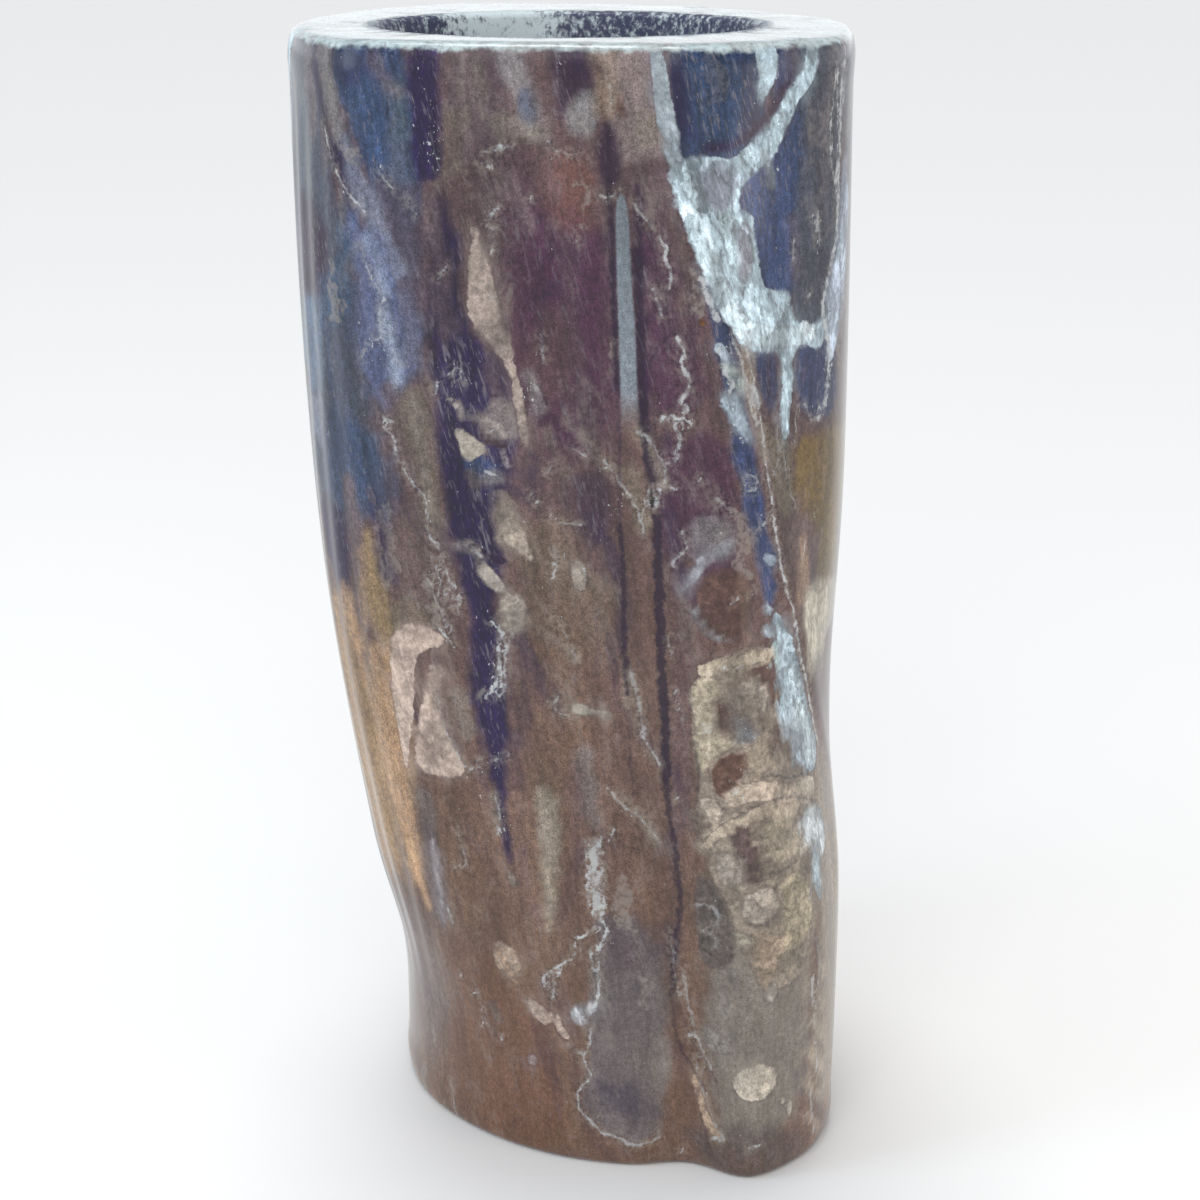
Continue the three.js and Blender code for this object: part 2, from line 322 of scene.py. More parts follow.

# The stone's broad colours, among them a few painted reflections, marked where they stand.
# Each is (colour, softness in mm, strength, outline), in the order in which they are laid
# over each other. A zone with a width at the end is a band along a line instead.
ZONES = [
    # the top of the front, left of the middle
    (SLATE, 3, 0.95, [(-49, 505), (-46.6, 470), (-43, 450), (-38, 434), (-33, 422), (-30, 440), (-32, 505)]),
    (NIGHT, 4, 0.5, [(-46, 500), (-45, 478), (-38, 490)]),
    ((92, 98, 114), 3, 0.7, [(-36, 480), (-35, 455), (-34.6, 430), (-33, 408)], 7),
    (TEAL, 3, 0.5, [(-34.4, 482), (-34, 464)], 8),
    (MAUVE, 3, 0.5, [(-41, 502), (-37.6, 488), (-35, 480)], 6),
    (NIGHT, 1.6, 0.95, [(-33.5, 508), (-26.2, 508), (-26.6, 480), (-26.4, 455), (-27.2, 445), (-31.5, 443),
     (-32.6, 460), (-33, 480)]),
    (MAUVE, 3, 0.75, [(-26, 505), (-15, 505), (-12, 470), (-15, 461), (-20, 453), (-24.6, 446), (-26, 460)]),
    (OLIVE, 3, 0.5, [(-24, 470), (-24, 450)], 8),
    (DARK_BROWN, 2.5, 0.6, [(-18, 500), (-15.4, 484)], 6),
    (TAN, 1.5, 0.5, [(-23, 494), (-22.4, 480), (-21.4, 464)], 2.5),
    (TAN, 1.5, 0.4, [(-19.4, 492), (-17.6, 480)], 3),
    (PALE_GREY, 2.5, 0.75, [(-13.4, 500), (-11.4, 488), (-8.8, 478), (-6.8, 466)], 8),
    (TAN, 3, 0.6, [(-15, 468), (-10, 466), (-7, 465)], 8),
    (SLATE, 2, 0.6, [(-9.4, 479), (-8.6, 471)], 4),
    (DEEP, 4, 0.85, [(-4.4, 503), (5, 503), (5, 478), (1, 480), (-2.6, 468), (-3.6, 480)]),
    (WARM_BROWN, 2.5, 0.7, [(-7.4, 496), (-5, 480), (-3.6, 468), (-2.6, 458)], 6),
    (PALE_GREY, 2.5, 0.85, [(-1, 472), (1, 478), (2.6, 482), (4.8, 480), (5, 468), (3, 463), (0.6, 464)]),
    (DARK_BROWN, 4, 0.6, [(-22, 458), (-12, 464), (-8, 456), (-7, 445), (-14, 440), (-22, 446)]),
    ((120, 88, 82), 5, 0.75, [(-5, 457), (3, 457), (6, 440), (3, 424), (-4, 428), (-6, 440)]),
    # the top of the front, right of the middle
    (PINK_GREY, 3, 0.85, [(6, 505), (17, 505), (18, 480), (18.6, 462), (17, 455), (12.6, 452), (9.8, 454),
     (9.4, 466), (8, 480)]),
    ((158, 138, 120), 3, 0.6, [(7.2, 502), (8.2, 476)], 8),
    (BEIGE, 3, 0.6, [(12, 474), (17, 474), (17.6, 460), (12, 458)]),
    (RUST, 1.2, 0.8, [(9.8, 477), (10.8, 472)], 3),
    (DEEP, 2, 0.85, [(6.2, 467), (8, 469), (9.8, 461), (10, 450), (9.4, 443), (7.4, 441), (6, 446)]),
    (MAUVE, 4, 0.5, [(10.4, 452), (19, 450), (20, 436), (12, 436)]),
    ((122, 106, 104), 2.5, 0.5, [(18.8, 442), (20, 430), (21.2, 414)], 4),
    (SLATE, 1.2, 0.97, [(18.4, 512), (37, 512), (37, 474), (34, 456), (24, 450), (19, 452), (19, 474)]),
    (NAVY, 1.6, 0.95, [(36, 512), (48, 512), (45, 478), (41, 464), (33, 452), (33, 462), (37, 472),
     (38.6, 492)]),
    (MAUVE, 2.5, 0.45, [(39.6, 505), (45, 505), (43, 486), (40.6, 480)]),
    (NIGHT, 2, 0.7, [(19.5, 505), (20, 480), (21, 466)], 4),
    (DEEP, 1.4, 0.8, [(25, 460), (29, 459.5), (33, 464), (37, 471), (40, 481), (43, 492)], 4.0),
    ((84, 89, 102), 2, 0.9, [(44, 512), (57, 512), (56, 450), (56, 380), (50, 368), (42, 384), (42, 440),
     (42, 468)]),
    (DUSK_BLUE, 2.4, 0.97, [(29, 446), (33, 456), (40, 460), (42, 470), (44, 470), (43.6, 455), (43.4, 430),
     (43, 402), (41, 390), (34, 396), (31, 420)]),
    (MAUVE, 2.5, 0.5, [(42.6, 428), (43.2, 404)], 4),
    (GREY, 2.5, 0.5, [(52, 500), (51, 470), (51, 440)], 5),
    (DEEP, 1.6, 0.85, [(44.6, 371.6), (46.4, 369)], 5),
    (BLUE_GREY, 4, 0.8, [(56, 505), (80, 505), (80, 440), (58, 436)]),
    (PALE_GREY, 2.5, 0.7, [(61, 503), (63, 480), (60, 462)], 7),
    ((136, 144, 164), 2, 0.85, [(59, 446), (58, 425), (56.6, 405), (54.6, 388), (53.6, 372)], 11),
    (BROWN, 3, 0.6, [(63, 428), (78, 420), (80, 385), (62, 392)]),
    # round the foot of the crystal
    (NAVY, 2, 0.9, [(33.4, 376), (38, 377), (39, 366), (38.6, 350), (36.4, 348), (34.6, 362)]),
    (DARK_BROWN, 1.6, 0.6, [(36.6, 374), (37.6, 346)], 2.5),
    (NAVY, 2, 0.9, [(43.2, 378), (50, 378), (54, 376), (57, 362), (58, 345), (53.6, 338), (46.5, 345),
     (43.6, 352)]),
    (DARK_BROWN, 2.5, 0.6, [(46, 370), (45, 346)], 3),
    (OLIVE, 2.5, 0.8, [(34, 354), (37, 346), (40, 338), (43, 336), (44, 306), (39.6, 302), (37.4, 322)]),
    # the middle of the front
    (PURPLE_BROWN, 10, 0.8, [(-16, 440), (-13, 330), (9, 330), (9, 424), (0, 424), (-8, 440)]),
    ((106, 86, 86), 6, 0.5, [(-11, 392), (2, 392), (3, 350), (-10, 350)]),
    (MAUVE, 2, 0.7, [(-13.4, 446), (-11, 436), (-9, 427)], 5),
    (MAUVE, 3, 0.45, [(-18.4, 442), (-16.4, 424), (-15, 404)], 5),
    (MAUVE, 3, 0.4, [(-5, 470), (-3.6, 440)], 5),
    (DARK_BROWN, 3, 0.5, [(-1, 420), (1, 380), (3, 340)], 6),
    (PALE_GREY, 2, 0.5, [(-9, 364), (-7, 350)], 5),
    (WARM_BROWN, 4, 0.7, [(-14, 335), (-7, 350), (-5, 330), (-8, 296), (-14, 300)]),
    (TAN, 2, 0.45, [(-1, 346), (4, 338), (8, 326)], 3.5),
    (TAN, 2, 0.4, [(-5, 344), (-2, 326), (1, 316)], 3.5),
    (OCHRE, 7, 0.7, [(-13, 300), (-4, 310), (1, 285), (9, 280), (9, 240), (-12, 240)]),
    (DEEP, 4, 0.6, [(-3, 322), (8, 326), (9, 300), (5, 290), (0, 296)]),
    ((120, 104, 94), 6, 0.45, [(-6, 308), (4, 306), (5, 264), (-6, 262)]),
    (LOW_BROWN, 14, 0.7, [(-14, 260), (-14, 120), (4, 130), (8, 250)]),
    (PURPLE_BROWN, 5, 0.7, [(13, 424), (18, 426), (20, 405), (24.4, 385), (26, 350), (16, 345), (14.6, 385)]),
    (MAUVE, 3, 0.5, [(14, 405), (18, 400)], 6),
    (PURPLE_BROWN, 4, 0.7, [(17, 345), (28, 345), (34, 300), (35, 262), (20, 262), (19, 310)]),
    ((128, 124, 126), 2, 0.75, [(22.6, 300), (25, 306), (29.4, 305), (30.6, 297), (30, 289), (24, 290)]),
    ((120, 102, 98), 2, 0.5, [(20.6, 398), (21.6, 386)], 5),
    (DEEP, 1.6, 0.85, [(13.5, 444), (14.4, 385), (15, 350), (15.8, 334)], 3.6),
    (DEEP, 1.6, 0.8, [(8, 446), (8.8, 400), (9.4, 362)], 2.6),
    (BEIGE, 1.6, 0.65, [(13.6, 343), (15.4, 337), (17.2, 328), (18.6, 320)], 3.6),
    (BEIGE, 2.5, 0.8, [(12.4, 324), (13.6, 312), (14.8, 303)], 6),
    (TAN, 2, 0.5, [(-10, 258), (-4, 250), (1, 242)], 3),
    (BROWN, 3, 0.6, [(19.6, 262), (24, 262), (24, 165), (20.6, 165)]),
    # the dark speckled band
    (NIGHT, 2.4, 0.97, [(-29.5, 446), (-29.5, 347), (-28.5, 320), (-27.5, 305), (-25.5, 285), (-25, 275),
     (-23, 262), (-24, 240), (-22, 215), (-19.5, 195), (-18, 170), (-16, 143), (-14, 143), (-15, 178),
     (-14, 212), (-17, 232), (-16, 252), (-17.4, 268), (-15, 284), (-16.6, 300), (-14.6, 318), (-12.6, 330),
     (-12.8, 350), (-14, 372), (-20, 382), (-22, 395), (-23, 430)]),
    (DARK_BROWN, 3, 0.65, [(-29, 440), (-26, 405)], 9),
    (DARK_BROWN, 3, 0.7, [(-17.6, 374), (-15.4, 352)], 7),
    (MAUVE, 3, 0.4, [(-28, 432), (-26.4, 400), (-25, 384)], 9),
    (MAUVE, 1.8, 0.4, [(-28, 430), (-24.6, 408)], 3),
    (MAUVE, 1.8, 0.4, [(-29, 400), (-26, 372)], 2.6),
    ((130, 121, 120), 2, 0.8, [(-20, 349), (-17, 354), (-13, 354), (-11.6, 342), (-14, 337), (-19, 340)]),
    (NAVY, 1.4, 0.95, [(-21.6, 328), (-17.4, 322)], 8),
    (BEIGE, 2, 0.5, [(-22, 322), (-20.8, 318)], 4),
    (BEIGE, 2, 0.5, [(-18.6, 320), (-15.4, 321)], 4),
    # the left flank
    ((84, 78, 92), 5, 0.8, [(-49, 462), (-40, 440), (-31, 440), (-30, 350), (-44, 350)]),
    # painted reflection: this blue-grey zone stands for a cool blue surround mirrored in the polished upper
    # left flank
    (BLUE_GREY, 9, 0.85, [(-88, 505), (-55, 505), (-50, 450), (-44, 420), (-43, 385), (-43, 350), (-40, 320),
     (-46, 296), (-62, 290), (-88, 320)]),
    (MAUVE, 4, 0.6, [(-58, 505), (-57, 478), (-57, 462)], 8),
    (TEAL, 4, 0.7, [(-66, 478), (-60, 474), (-57, 450), (-56, 424), (-64, 428)]),
    (DEEP, 7, 0.9, [(-68, 440), (-57, 434), (-49, 420), (-51, 395), (-60, 380), (-66, 396)]),
    # painted reflection: the blue, pale blue and blue-grey zones on the next three lines are the smoothest
    # part of the flank, mirroring the same cool surround
    ((76, 97, 124), 5, 0.85, [(-49, 428), (-45, 420), (-44, 396), (-52, 382), (-62, 385), (-54, 396)]),
    ((98, 122, 148), 3, 0.9, [(-72, 378), (-64, 390), (-56.4, 384), (-55.4, 350), (-64, 344), (-74, 358)]),
    ((134, 142, 164), 2.5, 0.8, [(-68, 344), (-57, 350), (-55, 328), (-62, 320)]),
    (SLATE, 2, 0.7, [(-54, 382), (-53.4, 345), (-51, 318)], 3),
    (SLATE, 5, 0.75, [(-55, 345), (-38.4, 338), (-37.6, 296), (-46, 300), (-62, 300), (-62, 325)]),
    (NIGHT, 2, 0.9, [(-58, 508), (-55, 482), (-51.6, 462), (-46.5, 440), (-44.4, 434), (-44, 446), (-46, 458),
     (-49.6, 461), (-53, 482), (-54.4, 508)]),
    (PALE_GREY, 1.6, 0.9, [(-52.4, 508), (-50.2, 484), (-47.4, 462)], 8),
    ((118, 122, 140), 2, 0.9, [(-45.4, 458), (-42.6, 440), (-39.4, 424), (-36.4, 408)], 9),
    (LAVENDER, 6, 0.9, [(-46, 430), (-44.6, 400), (-45, 380), (-45, 366), (-41, 352), (-35, 354),
     (-33.4, 376), (-35, 395), (-39.4, 420)]),
    ((150, 162, 186), 2, 0.7, [(-41.6, 420), (-39.4, 408), (-38.4, 398)], 2.6),
    ((156, 168, 190), 2, 0.75, [(-38.6, 388), (-37.4, 374), (-36.8, 360)], 4),
    ((104, 104, 122), 2.5, 0.5, [(-34, 400), (-33, 372)], 5),
    (MAUVE, 2.5, 0.7, [(-38.4, 356), (-36.4, 346), (-37.4, 335)], 5),
    ((110, 99, 92), 2.5, 0.9, [(-37.4, 356), (-31, 362), (-29.6, 345), (-28.6, 320), (-27, 296), (-31, 290),
     (-35, 316)]),
    (TAN, 2.5, 0.6, [(-33.4, 352), (-32, 330), (-31, 310)], 5),
    (NIGHT, 2.5, 0.9, [(-64, 306), (-52, 300), (-50.6, 285), (-52, 258), (-62, 266)]),
    (MAUVE, 2.5, 0.85, [(-49.6, 312), (-48, 285), (-49, 250)], 9),
    # painted reflection: the golden and peach zones from here down to the bright peach band stand for a warm
    # ground mirrored in the polished lower left flank
    (PEACH, 2.5, 0.5, [(-47.4, 282), (-48, 252)], 5),
    ((140, 120, 94), 3, 0.9, [(-46.6, 296), (-42.6, 290), (-40.6, 256), (-38, 238), (-46, 238)]),
    (NIGHT, 3, 0.75, [(-43.6, 310), (-41.6, 290), (-40.6, 274)], 6),
    ((108, 92, 90), 3, 0.8, [(-38, 298), (-34, 312), (-31, 290), (-28, 262), (-38, 262)]),
    (OLIVE, 4, 0.6, [(-41, 262), (-31, 262), (-31, 248), (-41, 246)]),
    ((160, 131, 99), 6, 0.92, [(-92, 244), (-84, 270), (-60, 258), (-50, 246), (-46, 200), (-44, 150),
     (-50, 118), (-62, 104), (-68, 150), (-80, 176)]),
    (PEACH, 3, 0.75, [(-54, 258), (-51, 236)], 9),
    ((178, 147, 118), 3, 0.9, [(-49, 240), (-40.6, 242), (-38.4, 215), (-38, 190), (-40, 160), (-41, 120),
     (-45, 122), (-47, 160), (-48.4, 200)]),
    ((188, 154, 124), 1.6, 0.85, [(-51, 236), (-48.4, 200), (-47, 172), (-44.4, 140), (-40, 112)], 4),
    ((124, 104, 90), 2, 0.6, [(-37.4, 234), (-37.4, 212), (-39.4, 186), (-40.6, 150)], 2.2),
    ((122, 98, 84), 9, 0.7, [(-38, 180), (-36, 110), (-22, 110), (-22, 180)]),
    (GREY, 3, 0.6, [(-36.4, 170), (-35.4, 112)], 9),
    ((118, 104, 102), 8, 0.75, [(-70, 110), (-44, 112), (-38, 80), (-38, 40), (-50, 24), (-70, 20)]),
    # painted reflection: a warm band along the foot
    ((134, 108, 86), 4, 0.7, [(-70, 12), (-56, 3), (-40, 0), (-24, -2)], 7),
    ((116, 89, 77), 8, 0.8, [(-36, 100), (-20, 100), (-4, 60), (0, 30), (-2, 0), (-40, 0), (-36, 40)]),
    (TAN, 2, 0.6, [(-26.6, 222), (-24.4, 206)], 6),
    (BROWN, 2, 0.6, [(-31.4, 236), (-30.6, 210), (-27.4, 196)], 4),
    # the lower middle
    (OCHRE, 5, 0.6, [(-10, 200), (-4, 196), (-4, 120), (-10, 140)]),
    ((146, 136, 124), 2, 0.9, [(-9.6, 184), (-4, 180), (-1.8, 160), (-3.8, 124), (-6, 108), (-8, 150)]),
    (TAN, 2.5, 0.45, [(-18.6, 176), (-17.8, 162)], 6),
    (MAUVE, 1.6, 0.5, [(-13, 176), (-11, 140), (-8, 118)], 3),
    (PALE_GREY, 3, 0.45, [(3, 198), (4.6, 168)], 6),
    (BROWN, 3, 0.5, [(1.4, 190), (1, 150), (-2, 122)], 6),
    (DARK_BROWN, 2.5, 0.5, [(-12.6, 205), (-11, 170), (-12, 140)], 3),
    (GREY, 3, 0.8, [(6, 124), (7.5, 112), (4, 98), (4.5, 60), (2, 34), (2, 25), (9, 14), (18, 12), (20, 40),
     (19, 122)]),
    (DARK_BROWN, 5, 0.5, [(8, 124), (18, 124), (18, 100), (8, 98)]),
    ((74, 70, 82), 4, 0.6, [(5, 42), (6, 32), (11, 29), (18, 22), (18, 32), (11, 40)]),
    (STONE_GREY, 3, 0.6, [(16.8, 66), (17, 36), (19.8, 36), (19.8, 64)]),
    (BEIGE, 1.8, 0.6, [(12, 238), (11.4, 224), (14.4, 212)], 5),
    (BEIGE, 1.6, 0.65, [(10, 182), (13.4, 175), (16, 167), (17.8, 157)], 3),
    (TAN, 1.6, 0.5, [(14.4, 210), (16.6, 198), (19, 191)], 2.4),
    (DARK_BROWN, 2.5, 0.6, [(20.4, 160), (21, 120), (20.6, 92)], 5),
    # the right lobe
    (STONE_GREY, 5, 0.85, [(25, 118), (27, 20), (30, 14), (42, 20), (46, 90), (45, 150), (28, 150)]),
    (OLIVE, 3, 0.7, [(24.6, 150), (30, 148), (29, 110), (25, 100)]),
    ((100, 90, 88), 5, 0.7, [(24, 22), (24, 0), (44, 0), (42, 22), (34, 28)]),
    (DARK_BROWN, 2, 0.5, [(41.4, 48), (41.6, 28)], 3),
    (DARK_BROWN, 3, 0.6, [(22, 60), (25.6, 30), (26, 10)], 3),
    (BEIGE, 3, 0.75, [(39, 145), (45, 145), (45, 60), (42.6, 62), (40.6, 90)]),
    # painted reflection: this golden zone stands for a warm ground mirrored in the polished right facet
    ((120, 101, 66), 4, 0.9, [(43, 332), (48, 338), (57, 338), (64, 330), (74, 334), (78, 306), (68, 284),
     (64, 262), (54, 262), (52, 296), (44.6, 306)]),
    (PEACH, 3, 0.6, [(45, 292), (49, 288), (50, 264), (46, 252)]),
    ((174, 168, 152), 2.5, 0.9, [(46.4, 260), (51, 270), (58, 264), (72, 256), (68, 240), (58, 244),
     (57, 220), (49.6, 226), (47.6, 244)]),
    (BROWN, 2.5, 0.7, [(50.6, 230), (60, 232), (64, 205), (56, 196), (52.5, 205)]),
    ((150, 140, 126), 6, 0.85, [(46, 178), (56, 194), (62, 168), (76, 146), (68, 112), (74, 78), (64, 54),
     (64, 26), (54, 8), (45, 30), (44.4, 90), (46, 130)]),
    ((150, 112, 86), 3, 0.6, [(46, 6), (52, 16), (58, 60)], 6),
    *[((112, 96, 86), 1.4, 0.7, [(43.4, height), (46, height - 6), (49, height - 16)], 2.4)
      for height in range(112, 10, -16)],
    *[((170, 158, 144), 1.2, 0.8, [(42.8, height), (45.4, height - 6), (48.6, height - 16)], 3)
      for height in range(104, 10, -16)],
    # the narrow strip beside the ridge
    (BEIGE, 2, 0.6, [(31.6, 384), (33.6, 352), (36.4, 330)], 5),
    (NAVY, 1.8, 0.95, [(23.5, 410), (24.8, 395), (26, 385), (27, 368), (30, 338), (32, 318), (33.5, 303),
     (35.5, 285), (37.5, 262), (40.5, 262), (39.5, 285), (37, 303), (35, 322), (33, 340), (29.5, 385),
     (27.5, 396), (25.7, 410)]),
    # the right, the back and the left side
    (NAVY, 16, 0.7, [(66, 500), (70, 360), (92, 330), (96, 500)]),
    (GOLD, 22, 0.5, [(72, 250), (74, 60), (112, 40), (116, 230)]),
    (PURPLE_BROWN, 20, 0.7, [(112, 500), (118, 330), (152, 300), (150, 500)]),
    (STONE_GREY, 16, 0.6, [(124, 290), (132, 60), (160, 60), (158, 270)]),
    (NIGHT, 5, 0.85, [(168, 500), (172, 420), (178, 300), (190, 180), (196, 190), (188, 300), (184, 420),
     (182, 500)]),
    (BLUE_GREY, 16, 0.5, [(196, 480), (200, 330), (222, 300), (224, 470)]),
    (BROWN, 22, 0.6, [(204, 290), (206, 40), (250, 40), (246, 280)]),
    (NAVY, 12, 0.7, [(240, 500), (244, 350), (262, 320), (264, 480)]),
    (GOLD, 14, 0.5, [(256, 300), (268, 190), (280, 120), (290, 140), (292, 280)]),
]

# Fossils and crystal with a clear edge: (colour, how crystalline from 0 to 1, softness of
# the edge in mm, outline). A shape with a width at the end is a band along a line instead.
PATCHES = [
    # calcite: the arm from the rim, the body and its stem
    (CALCITE, 1.0, 0.8, [(46.5, 512), (45.3, 494), (44, 488), (41.5, 482), (40, 477), (38.5, 472), (36, 466),
     (33, 460), (31, 456), (27, 455), (23, 458), (20, 455), (20.5, 440), (21, 432), (22, 425), (23, 418),
     (24.8, 408), (27.3, 396), (29, 385), (31.8, 379), (34.5, 375.5), (38, 376), (40, 371), (40.3, 362),
     (39.9, 352), (40.4, 337), (42.3, 337), (42.6, 350), (43, 362), (43, 372), (44.5, 375), (46, 377),
     (48, 374), (50.5, 371.5), (52, 378), (52, 386), (49.5, 383), (46.5, 383), (43.5, 386), (42.8, 390),
     (42, 397), (41, 400), (37, 401), (35.5, 404), (35, 410), (34, 426), (33.5, 432), (31.5, 434), (31, 438),
     (31.5, 443), (33, 447), (35, 450), (38, 455), (39.5, 460), (40.5, 465), (42, 470), (43, 475), (45, 480),
     (47, 486), (48, 494), (49.5, 512)]),
    (CALCITE, 0.45, 0.6, [(34.5, 510), (34.2, 490), (34.6, 480), (35, 474), (36.5, 479), (38, 485),
     (38.8, 491), (38.6, 510)]),
    ((150, 158, 164), 0.6, 0.8, [(15.5, 508), (15.5, 490), (16, 480), (17, 465), (18, 456), (20, 448),
     (21, 450), (20.3, 456), (19.5, 470), (18.7, 480), (17.2, 498), (17.2, 508)]),
    ((176, 188, 204), 0.9, 1.2, [(58.6, 440), (62, 437), (61.4, 414), (60.6, 398), (59.6, 387), (57, 375),
     (54.4, 364), (52.8, 366), (52.4, 381), (52.6, 396), (54.8, 409), (57.2, 421)]),
    # the white and blue patch under the ridge
    ((168, 184, 194), 0.9, 0.8, [(39.5, 262), (38.7, 256), (41, 247), (39.4, 232), (40.5, 221), (40, 211),
     (41, 203), (42.5, 198), (43.4, 192), (45, 188), (47, 184), (50, 182), (52, 186), (52.4, 193),
     (51.2, 201), (49.4, 211), (48, 221), (46.4, 231), (45, 240), (43, 250), (41, 258)]),
    ((150, 162, 172), 0.7, 0.8, [(27.5, 356), (29, 352), (30, 345), (32, 340), (33.5, 337), (34, 339),
     (32.5, 344), (31, 356), (30, 360), (28.5, 361)]),
    ((150, 162, 176), 0.6, 0.8, [(37, 289), (37, 284), (39, 282), (39.6, 286)]),
    ((140, 150, 170), 0.5, 0.8, [(26, 380), (26, 377), (27.6, 376), (27.6, 380)]),
    # the slender cone, upper left of the middle
    ((146, 134, 127), 0.2, 0.8, [(-20.3, 429), (-21, 420), (-21.5, 400), (-22, 392), (-21, 387), (-20, 383),
     (-16.5, 377), (-14, 370), (-13, 364), (-12, 350), (-10.2, 332), (-9.6, 336), (-9.9, 350), (-10.5, 358),
     (-11.5, 366), (-13.3, 380), (-14.8, 388), (-16.3, 402), (-17.5, 412), (-19, 421)]),
    # the pale shells on the dark band
    ((154, 148, 138), 0.2, 0.8, [(-25, 341), (-23, 341.5), (-21, 339), (-19, 336), (-18, 332), (-20, 331),
     (-21.5, 328), (-23, 329), (-24, 334), (-25, 338)]),
    ((144, 134, 124), 0.1, 1.8, [(-16.5, 318), (-13, 310), (-11, 300), (-9, 290), (-8.5, 284), (-10, 287),
     (-13, 291), (-16, 292), (-17, 298), (-16.5, 306)]),
    ((142, 134, 126), 0.2, 1.6, [(-16, 270), (-11, 270), (-10, 262), (-11, 253), (-15, 253), (-16.5, 260)]),
    ((152, 146, 138), 0.3, 1.0, [(-20.5, 284), (-18, 282), (-17, 278), (-14, 272), (-16, 270), (-19, 274),
     (-21, 279)]),
    ((146, 142, 138), 0.3, 0.8, [(-22, 221), (-20, 224.5), (-19.3, 227), (-20.3, 227), (-21.5, 224)]),
    # the small fossils in the middle
    (TAN, 0.1, 0.8, [(0, 287), (2, 286), (3.2, 279), (2.6, 272), (0.8, 274), (-0.2, 280)]),
    (SHELL, 0.4, 0.8, [(-0.5, 220), (1, 222.5), (3, 222), (4, 220.5), (6, 219.5), (8, 218.5), (8, 216.2),
     (5, 217), (2, 217.2), (0, 218.3)]),
    # the pink shells, lower left
    (PINK_SHELL, 0.3, 0.8, [(-42.2, 240), (-40.6, 248), (-37.6, 252.6), (-34, 253.4), (-30.4, 250.6),
     (-28.6, 246.4), (-30.6, 243), (-34, 240.6), (-36.2, 236), (-36.6, 226), (-37.2, 214), (-38.6, 200),
     (-40, 188), (-41.4, 180), (-42, 196), (-42.4, 216)]),
    (PINK_SHELL, 0.35, 0.8, [(-33.4, 232), (-31.2, 235), (-28.8, 234), (-29.8, 228), (-31, 221), (-30.8, 212),
     (-29.6, 203), (-27.6, 197), (-25.6, 189), (-26, 184), (-29, 182.4), (-33, 181), (-36.6, 183),
     (-38.4, 187), (-37.6, 196), (-36, 208), (-34.6, 220)]),
    ((144, 138, 140), 0.3, 2.0, [(-36, 150), (-34.5, 148), (-34, 120), (-34.5, 106), (-36, 106),
     (-36.4, 128)]),
    ((170, 168, 164), 0.3, 0.8, [(-33.5, 119), (-32, 112), (-31, 106), (-32.6, 108)]),
    (TAN, 0.1, 0.8, [(-15.5, 141), (-13.5, 138), (-13, 133), (-15, 134)]),
    ((150, 134, 121), 0.1, 1.0, [(-19.4, 104), (-15, 103), (-12.5, 96), (-13, 86), (-17, 86), (-20, 95)]),
    # low in the middle
    ((172, 156, 144), 0.2, 0.8, [(-4.8, 75), (-3.2, 73), (-2.4, 67), (-0.6, 63.5), (-0.4, 61.5), (-2, 61.5),
     (-3.6, 64), (-4.6, 69)]),
    ((176, 178, 182), 0.8, 0.8, [(-0.6, 74), (0, 77), (1.6, 79.5), (3.4, 80), (4.8, 82), (5.6, 79),
     (4.8, 75.5), (3, 74), (3.2, 71), (1.2, 69.5), (0, 71.5)]),
    ((152, 137, 127), 0.1, 1.0, [(-12.6, 80), (-8.5, 78), (-5.5, 72), (-6, 66), (-9, 69), (-11.5, 74)]),
    (PINK_GREY, 0.1, 0.8, [(-11.3, 50), (-9, 50), (-8.8, 45), (-11, 45)]),
    # the big chambered shell
    ((134, 124, 113), 0.1, 1.4, [(25, 239), (27, 243), (29, 246), (31, 248), (33, 249), (35, 250), (37, 246),
     (38.5, 241), (39.6, 228), (40.5, 212), (41.5, 200), (43, 190), (48, 184), (48, 165), (46, 140),
     (45, 118), (42, 96), (37.5, 92), (34.5, 95), (33, 98), (31.5, 106), (30, 113), (29.5, 121), (28.5, 134),
     (26.5, 146), (25.5, 158), (24.3, 165), (24, 172), (24.8, 180), (25, 192), (24.5, 200), (24, 208),
     (24.5, 215), (23.5, 222), (23, 228), (24, 232), (25.5, 236)]),
    # round section, crescent and pale spots on the right lobe
    ((182, 173, 160), 0.1, 0.8, [(29, 48.5), (29.5, 53.5), (31, 57), (32.6, 58), (34.4, 56.5), (35.6, 52.5),
     (35.8, 48), (35.2, 43.5), (33.6, 40), (31.8, 39.2), (30, 41), (29.2, 44.5)]),
    (SHELL, 0.1, 0.8, [(35.4, 39), (37, 38.6), (38.8, 36.5), (39.7, 32.5), (39.4, 28), (38.6, 25), (38.2, 28),
     (38.2, 32), (37.2, 35.4)]),
    ((136, 130, 124), 0.1, 1.0, [(25.5, 73), (27.5, 71), (29, 66), (28.6, 61), (26.6, 61), (25.4, 66)]),
    ((138, 132, 126), 0.1, 1.0, [(33.4, 99), (35, 97), (35.6, 90), (34.6, 85), (33.4, 89)]),
    ((164, 144, 126), 0.1, 0.8, [(23.8, 48), (25, 47), (25.6, 38), (26.4, 28), (28, 20), (27.4, 17.5),
     (26.2, 21), (25.4, 29), (24.8, 38)]),
    # the arc between the rod and the ridge
    ((140, 140, 146), 0.4, 0.8, [(30.6, 297), (30.2, 291.6), (27, 289), (25.6, 285), (24.4, 279),
     (22.6, 274.6), (21.4, 273.6), (22.4, 278), (23.6, 284), (24.6, 290), (26.8, 293.4), (28.6, 297)]),
    # the golden and beige facet on the right of the ridge
    ((176, 170, 154), 0.7, 1.6, [(46.6, 258), (50, 267), (54, 260), (58, 266), (60, 250), (57, 240),
     (56, 226), (53, 238), (50, 230), (48, 244)]),
]

